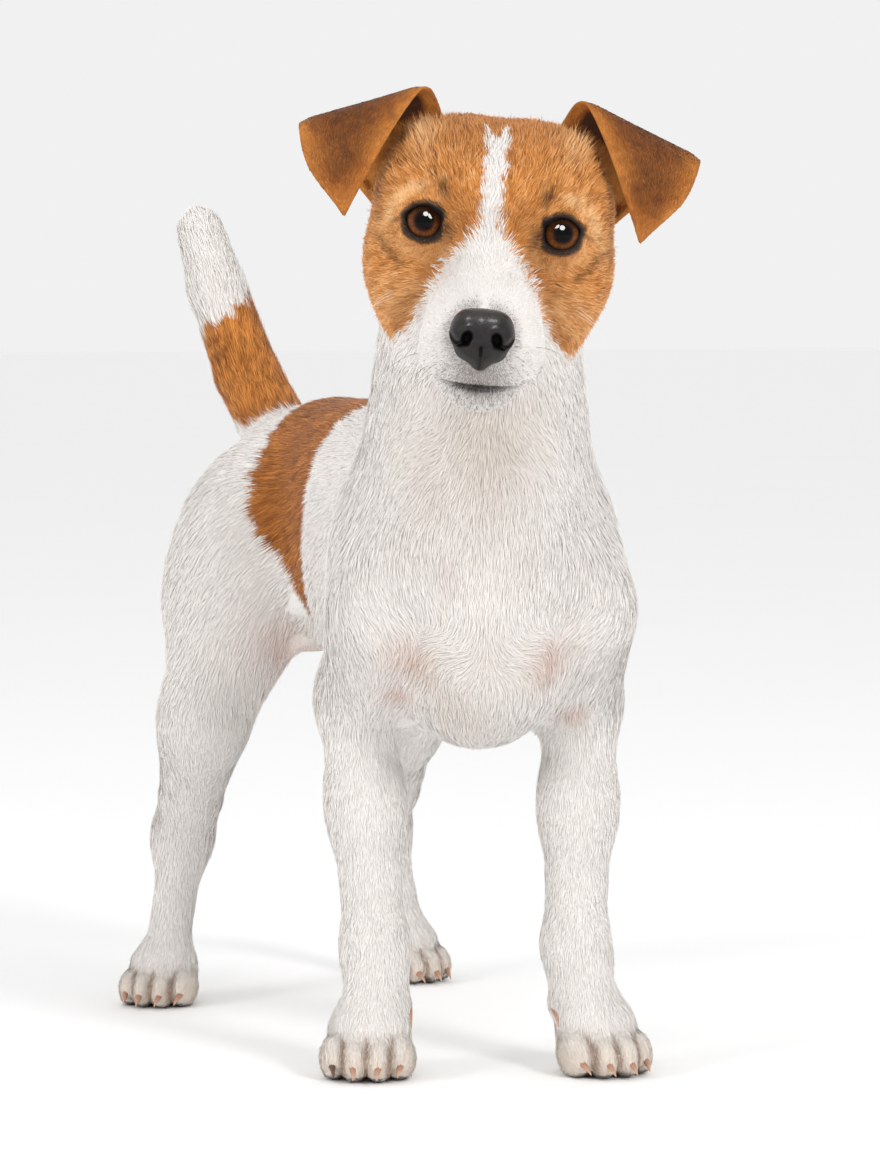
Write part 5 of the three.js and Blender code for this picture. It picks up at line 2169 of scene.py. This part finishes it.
@dataclass(frozen=True)
class NoseFinish:
    """Moist pebbled nose leather, with painted shade in the nostrils, the groove and the cracks between
    pebbles.
    """

    name: str = "nose_leather"
    pebbles: float = 1700.0

    def make(self) -> bpy.types.Material:
        """The material."""
        s = Shader(self.name, Specular_IOR_Level=0.22, Coat_Roughness=0.2, Coat_IOR=1.4)
        inside, top, _ = s.parts(s.read("wear_and_painted_shade"))
        at = s.place()
        where = {"Vector": at, "Scale": self.pebbles}
        cell, crack = (s.node("ShaderNodeTexVoronoi", {"feature": kind}, where, "Distance")
                       for kind in ("F1", "DISTANCE_TO_EDGE"))
        cloud = s.noise(at, 260.0)
        base = s.mix(cloud.step(0.3, 0.7), rgba("1a1716"), rgba("262221"))
        # Painted shade: the cracks between the pebbles darker.
        base = s.mix(0.55 * (1.0 - crack.step(0.0, 0.12)), base, rgba("121010"))
        # Painted shade: the nostrils, slits and groove near black.
        base = s.mix(inside, base, rgba("060404"))
        height = s.bump((1.0 - cell) * (1.0 - 0.7 * inside), 0.00018, 0.75)
        return s.finish(Base_Color=base, Roughness=0.34 + 0.16 * cloud + 0.3 * inside,
                        Coat_Weight=0.35 * (1.0 - inside) * (0.4 + 0.6 * top), Normal=height)


@dataclass(frozen=True)
class EyeFinish:
    """A wet dark brown eye: black pupil, fibrous iris, dark rim, and the upper lid's shadow painted on the
    top of the iris.
    """

    name: str = "eye_wet"
    pupil: float = 0.36
    iris: float = 0.82

    def make(self) -> bpy.types.Material:
        """The material."""
        s = Shader(self.name, Roughness=0.5, Specular_IOR_Level=0.0, Coat_Weight=0.35, Coat_Roughness=0.02,
                   Coat_IOR=1.36)
        x, z, depth = s.parts(s.read("gaze"))
        r = (x * x + z * z) ** 0.5
        far = r + 0.001
        way = s.node("ShaderNodeCombineXYZ", {}, {0: x / far * 5.0, 1: z / far * 5.0, 2: r * 1.3})
        fibre = s.noise(way, 3.2, 4.0)
        cloud = s.noise(way, 0.7, 2.0)
        brown = s.mix(fibre.step(0.3, 0.75), rgba("4a2916"), rgba("8a5229"))
        brown = s.mix(cloud * 0.5, brown, rgba("5b3018"))
        brown = s.mix(1.0 - r.step(self.pupil, self.pupil + 0.22), brown, rgba("1a0d08"))
        # Painted shadow of the upper lid: the top of the iris darker.
        brown = s.mix(0.75 * (z + 0.12).step(0.0, 0.55), brown, rgba("0d0705"))
        brown = s.mix(r.step(self.iris - 0.16, self.iris), brown, rgba("140b08"))
        black = 1.0 - (r + 0.04 * fibre).step(self.pupil - 0.08, self.pupil + 0.06)
        eye = s.mix(black, brown, rgba("040303"))
        white = s.mix(r.step(self.iris, self.iris + 0.14), rgba("1c1210"), rgba("8d7a70"))
        eye = s.mix(r.step(self.iris - 0.01, self.iris + 0.03), eye, white)
        eye = s.mix(depth.step(0.05, -0.05), eye, rgba("8d7a70"))
        return s.finish(Base_Color=eye)


@dataclass(frozen=True)
class ClawFinish:
    """Worn horn, paler towards the tip."""

    name: str = "claw_horn"

    def make(self) -> bpy.types.Material:
        """The material."""
        s = Shader(self.name, Specular_IOR_Level=0.45)
        up, dark, _ = s.parts(s.read("wear_and_painted_shade"))
        grain = s.noise(s.place((1.0, 1.0, 0.25)), 1600.0)
        horn = s.mix(up.step(0.1, 0.9), rgba("c9a58c"), rgba("a9765f"))
        horn = s.mix(grain.step(0.35, 0.75) * 0.5, horn, rgba("8a5f4c"))
        horn = s.mix(dark, horn, rgba("33241f"))
        return s.finish(Base_Color=horn, Roughness=0.34 + 0.2 * grain, Normal=s.bump(grain, 0.0002, 0.5))


@dataclass(frozen=True)
class FloorFinish:
    """A plain pale studio floor."""

    name: str = "studio_floor"

    def make(self) -> bpy.types.Material:
        """The material."""
        s = Shader(self.name, Roughness=0.7, Specular_IOR_Level=0.1)
        cloud = s.noise(s.place(), 3.0)
        return s.finish(Base_Color=s.mix(cloud, rgba("fbfbfb"), rgba("fdfdfd")))


# ---- the studio ----

@dataclass
class Studio:
    """Floor, lights and camera."""

    space: Space
    camera_at: Triple = (-855.67, -2064.83, 380.0)
    camera_turn: tuple[float, float] = (-3.53, -22.0)
    lens: float = 141.9
    sky: float = 0.88
    wet: tuple[bpy.types.Object, ...] = ()

    def build(self) -> None:
        """Sets the studio up."""
        self.floor()
        self.lights()
        self.camera()

    def floor(self) -> None:
        """A wide pale floor."""
        bm = bmesh.new()
        bmesh.ops.create_grid(bm, x_segments=1, y_segments=1, size=30.0)
        mesh = closed(bm, "floor")
        obj = linked("floor", mesh)
        mesh.materials.append(FloorFinish().make())

    def lights(self) -> None:
        """An even pale surround, three soft boxes, and the lamps that glint in the eyes and on the nose."""
        world = bpy.data.worlds.new("surround")
        bpy.context.scene.world = world
        world.use_nodes = True
        back = world.node_tree.nodes["Background"]
        back.inputs["Color"].default_value = (1.0, 1.0, 1.0, 1.0)
        back.inputs["Strength"].default_value = self.sky
        right, left, nose = self.wet
        for name, at, size, power, wet in (
            ("box_left", (-1.75, -2.45, 1.85), 0.8, 6.0, None),
            ("box_right", (0.75, -2.85, 1.75), 0.8, 38.0, None),
            ("box_side", (-3.0, -0.6, 1.3), 1.2, 27.0, None),
            ("glint_right_high", (-0.35, -2.25, 2.45), 1.5, 560.0, right),
            ("glint_right_low", (0.95, -2.45, 1.80), 1.5, 560.0, right),
            ("glint_left_high", (-1.75, -1.20, 2.45), 1.5, 560.0, left),
            ("glint_left_low", (-0.60, -2.35, 2.10), 1.5, 560.0, left),
            ("glint_nose", (-0.7, -1.2, 2.5), 1.0, 50.0, nose),
        ):
            self.lamp(name, at, size, power, wet)

    @staticmethod
    def lamp(name: str, at: Triple, size: float, power: float, wet: bpy.types.Object | None) -> None:
        """A soft round lamp that faces the dog.

        Args:
            name: its name.
            at: its place, in metres.
            size: its width, in metres.
            power: in watts.
            wet: the moist piece that it lights alone, or None where it lights everything.
        """
        data = bpy.data.lights.new(name, "AREA")
        data.shape = "DISK"
        data.energy, data.size = power, size
        lamp = linked(name, data)
        lamp.location = at
        lamp.rotation_euler = (Vector(AIM) - Vector(at)).to_track_quat("-Z", "Y").to_euler()
        lamp.visible_glossy = wet is not None
        if wet is not None:
            lit = bpy.data.collections.new(name)
            lit.objects.link(wet)
            lamp.light_linking.receiver_collection = lit
            lamp.visible_diffuse = False

    def camera(self) -> None:
        """The camera at the dog's chest height."""
        data = bpy.data.cameras.new("camera")
        data.lens, data.sensor_width = self.lens, 36.0
        data.clip_end = 200.0
        camera = linked("camera", data)
        camera.location = self.space.metres(np.array(self.camera_at))
        pitch, turn = self.camera_turn
        camera.rotation_euler = (math.radians(90.0 + pitch), 0.0, math.radians(turn))
        bpy.context.scene.camera = camera
        bpy.context.scene.view_settings.view_transform = "Standard"


def main() -> None:
    """Builds the dog and its studio."""
    logging.basicConfig(level=logging.INFO, format="%(relativeCreated)6d %(message)s", stream=sys.stdout)
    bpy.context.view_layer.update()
    figure = Figure()
    space = Space(figure)
    markings = Markings(figure)
    fur = FurFinish().make()
    skin = Skin(figure, space, markings)
    skin.build().data.materials.append(SkinFinish().make())
    coat = Coat(figure, space, markings, Lie(figure), amount=1.0)
    coat.build(skin, fur)
    wet = EyeFinish().make()
    right = Eye(figure, space, SIDES["right"], "right").build(wet)
    left = Eye(figure, space, SIDES["left"], "left", gaze=5.0).build(wet)
    nose = Nose(figure, space).build(NoseFinish().make())
    Claws().build(ClawFinish().make())
    Bristles(figure, space).build(fur)
    Studio(space, wet=(right, left, nose)).build()


if __name__ == "__main__":
    main()
